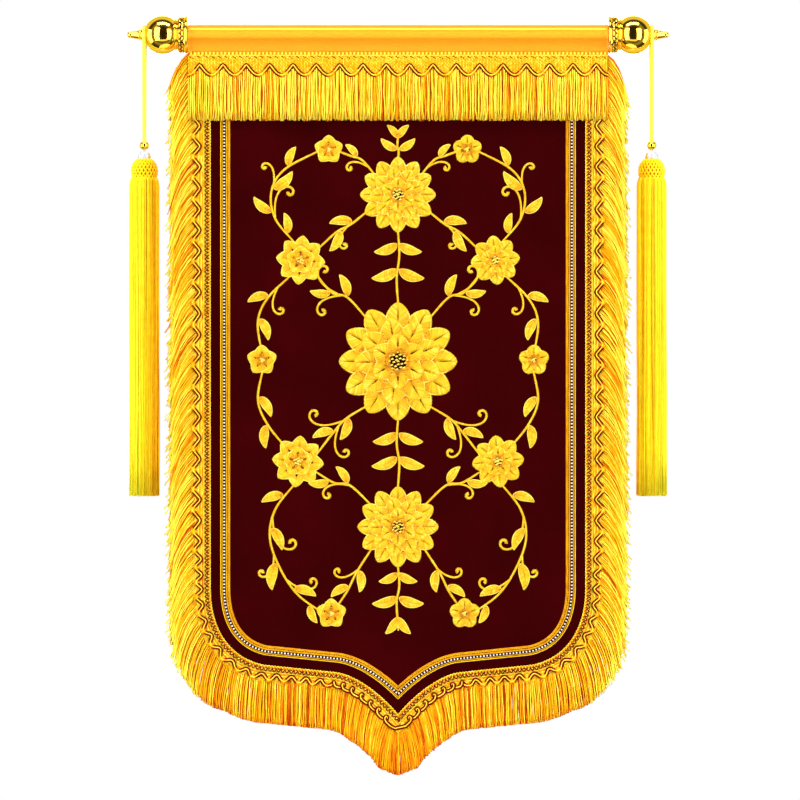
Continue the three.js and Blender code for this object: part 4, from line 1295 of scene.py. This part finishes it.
def add_beads(side_name, side, gold, pearl):
    """The gold bead on the cord's ends, and the white one under it."""
    rows = [(0, BEAD_FOOT)] + arc((0.4, -166.0), 6.6, -76, 58, 22)
    rows += [(3.7, -160.2), (5.6, -161.2), (5.4, -163.4), (0, -163.5)]
    points, faces = lathe(rows, BEAD_SIDES)
    bead = add_piece("gold_bead_" + side_name, upright(points, side), faces, gold, 0.6,
                     node="bead_" + side_name)
    rows = [(0, PEARL_CENTRE - PEARL_RADIUS)] + arc((0, PEARL_CENTRE), PEARL_RADIUS, -88, 88, 40)
    points, faces = lathe(rows + [(0, PEARL_CENTRE + PEARL_RADIUS)], PEARL_SIDES)
    # Painted reflection: the pearl's side towards the banner carries the fringe's gold.
    painted_gold_reflection = smoothstep(-side * points[:, 0] / PEARL_RADIUS, 0.3, 0.85)
    ball = add_piece("white_pearl_" + side_name, upright(points, side), faces, pearl,
                     0.15 + 0.8 * painted_gold_reflection, node="pearl_" + side_name)
    return [bead, ball]


def painted_side_light(x, side, reach):
    """Painted light and shade: lemon on a tassel's outer side, deeper gold on the side towards
    the banner.
    """
    return np.clip(0.73 + 0.29 * side * (x - side * TASSEL_X) / reach, 0, 1)


def add_tassel_head(name, side, lemon):
    """A solid core, and a net of crossed cords knotted over it."""
    radius, height = np.array(HEAD_SHAPE["r"]), np.array(HEAD_SHAPE["z"])
    rows = [(0, height[0]), *zip(radius - CORE_INSET, height), (0, HEAD_END)]
    points, faces = lathe(rows, HEAD_SIDES)
    # The core's deep tone paints the shade under the net's cords.
    add_piece(name + "_core", upright(points, side), faces, lemon, 0.06)
    known = np.arange(len(height))
    r, z = read(np.stack([radius, height], axis=1), known, np.linspace(0, known[-2], 30)).T
    fall = distances(np.stack([r, z], axis=1)) / NET_KNOT * np.pi
    lines = []
    for way in BOTH:
        knotted = r + 0.6 * np.cos(fall) * way - 0.8
        for k in range(NET_CORDS):
            angle = 2 * np.pi * k / NET_CORDS + way * fall / NET_CORDS
            lines.append(grid(knotted * np.cos(angle), knotted * np.sin(angle), z))
    lines = upright(np.array(lines), side)
    # Painted light on the net's outer side and painted shade on the side towards the banner
    tone = painted_side_light(lines[..., 0], side, 20) - 0.08
    add_tubes(name + "_net", lines, NET_RADIUS, lemon, tone, sides=5)


def add_skirt(side_name, side, lemon):
    """The skirt's long threads, in uneven locks that sway a little on their way down."""
    share, count = SKIRT_SHARES, SKIRT_THREADS
    angle = random.uniform(0, 2 * np.pi, count)
    depth = np.sqrt(random.uniform(0.3, 1, count))[:, None]
    radius = SKIRT_RADIUS * depth * np.interp(share, share[:3], (0.83, 0.96, 1))
    radius = radius + 0.9 * np.sin(share * 7 + random.uniform(0, 6.3, count)[:, None]) * share
    turn = angle[:, None] + random.normal(0, 0.05, (count, 1)) * share
    turn = turn + 0.045 * np.sin(angle * 5)[:, None] * np.sin(share * 4.0)
    foot = SKIRT_FOOT + np.abs(random.normal(0, 3.5, count))
    z = SKIRT_TOP + (foot[:, None] - SKIRT_TOP) * share
    lines = upright(grid(radius * np.cos(turn), radius * np.sin(turn), z), side)
    locks = random.normal(0, 0.07, SKIRT_LOCKS)
    lock = locks[(angle / (2 * np.pi) * SKIRT_LOCKS).astype(int)][:, None]
    # Painted light on the skirt's outer side and painted shade on the side towards the banner
    tone = painted_side_light(lines[..., 0], side, SKIRT_RADIUS) + lock
    # Painted shade: threads deeper inside the skirt are made darker.
    tone = noisy(tone, 0.12, (count, 1)) - 0.25 * (1 - depth)
    add_tubes("skirt_" + side_name, lines, SKIRT_THREAD_RADIUS, lemon, tone,
              node="tassel_" + side_name)


# Embroidery: a generic arrangement of flowers, leaves and tendrils in satin stitch

def stitched(path, widths, slant=0.5, pad=STITCH_PAD, lift=0.0):
    """Satin stitches across a path, each over a soft padding."""
    run = distances(path)
    count = max(int(run[-1] / STITCH_PITCH), 3)
    at = np.linspace(0, run[-1], count)
    place = read(path, run, at)
    width = np.interp(at / run[-1], shares(len(widths)), widths)[:, None]
    ahead = unit(np.gradient(place, axis=0))
    lean = slant * np.sin(np.pi * at / run[-1]).clip(0) ** 0.5
    across = unit(ahead * lean[:, None] - right_of(ahead))
    t = np.array([-1.0, -0.5, 0.5, 1.0])
    half = width / 2 * (1 + random.normal(0, 0.02, (count, 1)))
    flat = place[:, None] + across[:, None] * (half * t)[..., None]
    rise = lift + pad * np.minimum(width, 6) / 6 * (1 - t ** 2) ** 0.5
    return in_plane(flat, PANEL_FRONT - STITCH_BACK - rise
                    - panel_surface(flat[..., 0], flat[..., 1]))


def bent_line(root, angle, steps):
    """A line that leaves a root with steps at changing angles, and its directions."""
    ahead = np.stack([np.cos(angle), np.sin(angle)], axis=1)
    return np.array(root) + np.cumsum(ahead * steps, axis=0), ahead


class Embroidery:
    """Collects stitches and outline cords with their tones. ways holds -1 too if mirrored."""

    def __init__(self):
        self.stitches, self.tones, self.cords = [], [], []
        self.ways = (1,)

    def stroke(self, path, widths, tone, **style):
        """Satin stitches along a path. tone is one number, or some along the path."""
        for way in self.ways:
            lines = stitched(path * (way, 1), widths, **style)
            even = shares(len(lines))
            shade = np.interp(even, shares(np.size(tone)), np.atleast_1d(tone))
            self.stitches.append(lines)
            self.tones.append(noisy(shade, 0.1, len(lines)))

    def outline(self, path, lift):
        """A pale cord laid round a shape's rim."""
        even = spaced(path, shares(OUTLINE_STEPS))
        for way in self.ways:
            place = even * (way, 1)
            depth = PANEL_FRONT - OUTLINE_BACK - lift - panel_surface(place[:, 0], place[:, 1])
            self.cords.append(in_plane(place, depth))

    def blade(self, spine, aside, widths, tone, lift=0.0):
        """Two halves whose slanted stitches meet along a vein, in a corded rim."""
        for way in BOTH:
            middle = spine + aside * (way * widths * 0.25)[:, None]
            self.stroke(middle, widths * 0.56 + 1.5, tone, slant=way * 0.5, lift=lift)
        left, right = (spine + aside * (way * (widths * 0.5 + 0.5))[:, None] for way in BOTH)
        self.outline(np.concatenate([left, right[::-1]]), lift)

    def petal(self, centre, angle, inner, outer, width, lift):
        t = shares(12)
        out = np.array([math.cos(angle), math.sin(angle)])
        spine = np.array(centre) + out * (inner + (outer - inner) * t)[:, None]
        self.blade(spine, (-out[1], out[0]), width * np.sin(np.pi * t ** 0.62) ** 0.75,
                   PETAL_TONES, lift)

    def flower(self, centre, radius, rings):
        """Rings of petals, each ring lying over the one outside it, round a heart of knots."""
        for number, (share, size, count, turn) in enumerate(rings):
            width = 2 * np.pi * radius * share / count * PETAL_WIDTH
            for k in range(count):
                angle = 2 * np.pi * k / count + turn + np.pi / 2
                self.petal(centre, angle, radius * (share - size), radius * share, width,
                           number * RING_LIFT)
        self.knots(centre, radius * HEART_SHARE, len(rings) * RING_LIFT)

    def knots(self, centre, radius, lift):
        count = max(int(radius * 1.6), 5)
        for k in range(count):
            angle, reach = k * HEART_TURN, radius * math.sqrt(k / count)
            place = np.array(centre) + reach * np.array([math.cos(angle), math.sin(angle)])
            self.stroke(place + KNOT_PATH, KNOT_WIDTHS, 0.95, pad=2.0, lift=lift)

    def leaf(self, root, angle, length, curl):
        t = shares(14)
        spine, ahead = bent_line(root, angle + curl * (t - 0.2), length / (len(t) - 1))
        self.blade(spine, -right_of(ahead),
                   length * LEAF_WIDTH * np.sin(np.pi * t ** 0.8) ** 0.9, LEAF_TONES)

    def tendril(self, root, angle, length, way):
        """A thin branch that coils up ever tighter, to a round end."""
        t = shares(40)
        step = length / (len(t) - 1) * (1.15 - 0.6 * t)
        path, _ = bent_line(root, angle + way * (0.8 * t + 5.6 * t ** 3), step[:, None])
        self.stroke(path, TENDRIL_WIDTHS, 0.62, slant=0.6)

    def vine(self, points, leaves=(), tendrils=()):
        """A stem through points. Leaves and tendrils are (share, way, length) along it."""
        points = np.array(points, float)
        first = points[0] + unit(points[0] - points[1]) * STEM_TUCK
        last = points[-1] + unit(points[-1] - points[-2]) * STEM_TUCK
        path = rounded([first, *points[1:-1], last], 8)
        self.stroke(path, STEM_WIDTHS, 0.6, slant=0.8)
        ahead = np.gradient(path, axis=0)
        for rows, grow, spread, curl in ((leaves, self.leaf, 0.85, -0.8),
                                         (tendrils, self.tendril, 0.35, 1)):
            for share, way, length in rows:
                k = int(share * (len(path) - 1))
                angle = math.atan2(ahead[k, 1], ahead[k, 0]) + way * spread
                grow(path[k], angle, length, way * curl)

    def build(self, name, look):
        stitches = add_tubes(name, np.concatenate(self.stitches), STITCH_RADIUS, look,
                             np.concatenate(self.tones), flatten=0.8)
        tone = noisy(0.93, 0.05, (len(self.cords), OUTLINE_STEPS))
        return [stitches, add_tubes(name + "_outlines", np.stack(self.cords), OUTLINE_RADIUS,
                                    look, tone)]


def add_flowers(look):
    work = Embroidery()
    for ways, flowers in (((1,), MIDDLE_FLOWERS), (BOTH, SIDE_FLOWERS)):
        work.ways = ways
        for centre, radius, rings in flowers:
            work.flower(centre, radius, rings)
    return work.build("embroidered_flowers", look)


def add_scrollwork(look):
    work = Embroidery()
    work.ways = BOTH
    for points, leaves, tendrils in SIDE_VINES:
        work.vine(points, leaves, tendrils)
    work.ways = (1,)
    for points in MIDDLE_VINES:
        work.vine(points)
    work.ways = BOTH
    for height, angle, length, curl in MIDDLE_LEAVES:
        work.leaf((0, height), math.radians(angle), length, curl)
    return work.build("embroidered_scrolls", look)


# Assembly

def dress():
    threads = {name: thread_material(name, **style) for name, style in THREADS.items()}
    polished = (gold_material(), "polished_gold")
    pearl = (pearl_material(), "pearl_white")
    fringe = (threads["gold_fringe_thread"], "gold_fringe")
    marks = (threads["dark_edging_thread"], "gold_fringe")
    scroll, braid, edging, white, black = (
        (threads[name + "_thread"], "gold_braid")
        for name in ("gold_fringe", "gold_braid", "dark_edging", "white", "black"))
    lemon = (threads["lemon_silk_thread"], "lemon_silk")
    smooth_cord = (threads["lemon_cord"], "lemon_silk")
    stitch = (threads["gold_stitch_thread"], "gold_stitch")

    ropes = [add_cord("cord_" + side, way, smooth_cord) for side, way in SIDES]
    hung = [add_beads(side, way, polished, pearl) for side, way in SIDES]
    for (side, way), (cord, path, length), beads in zip(SIDES, ropes, hung):
        add_tassel_head("tassel_head_" + side, way, lemon)
        add_skirt(side, way, lemon)
        add_finial("finial_" + side, way, polished)

    sleeve, sleeve_flat = add_sleeve((satin_material(), "satin"))
    panel, panel_flat, panel_area = add_panel((velvet_material(), "velvet"))
    trims = add_edge_heading(fringe, marks)
    path, fading = scroll_path()
    trims += add_scroll("edge_scroll", path, SCROLL_WIDTH, fading, scroll, edging)
    trims += add_edge_fringe(fringe)
    trims += add_inner_braid(braid, edging, white, black)
    trims += add_valance(fringe, marks, scroll, edging)
    trims += add_flowers(stitch) + add_scrollwork(stitch)
    metal = metal_material()
    for slot in bpy.data.objects["rod"].material_slots:
        slot.material = metal


bpy.context.scene.view_settings.view_transform = "Standard"
add_camera()
dress()
add_world()
add_studio()
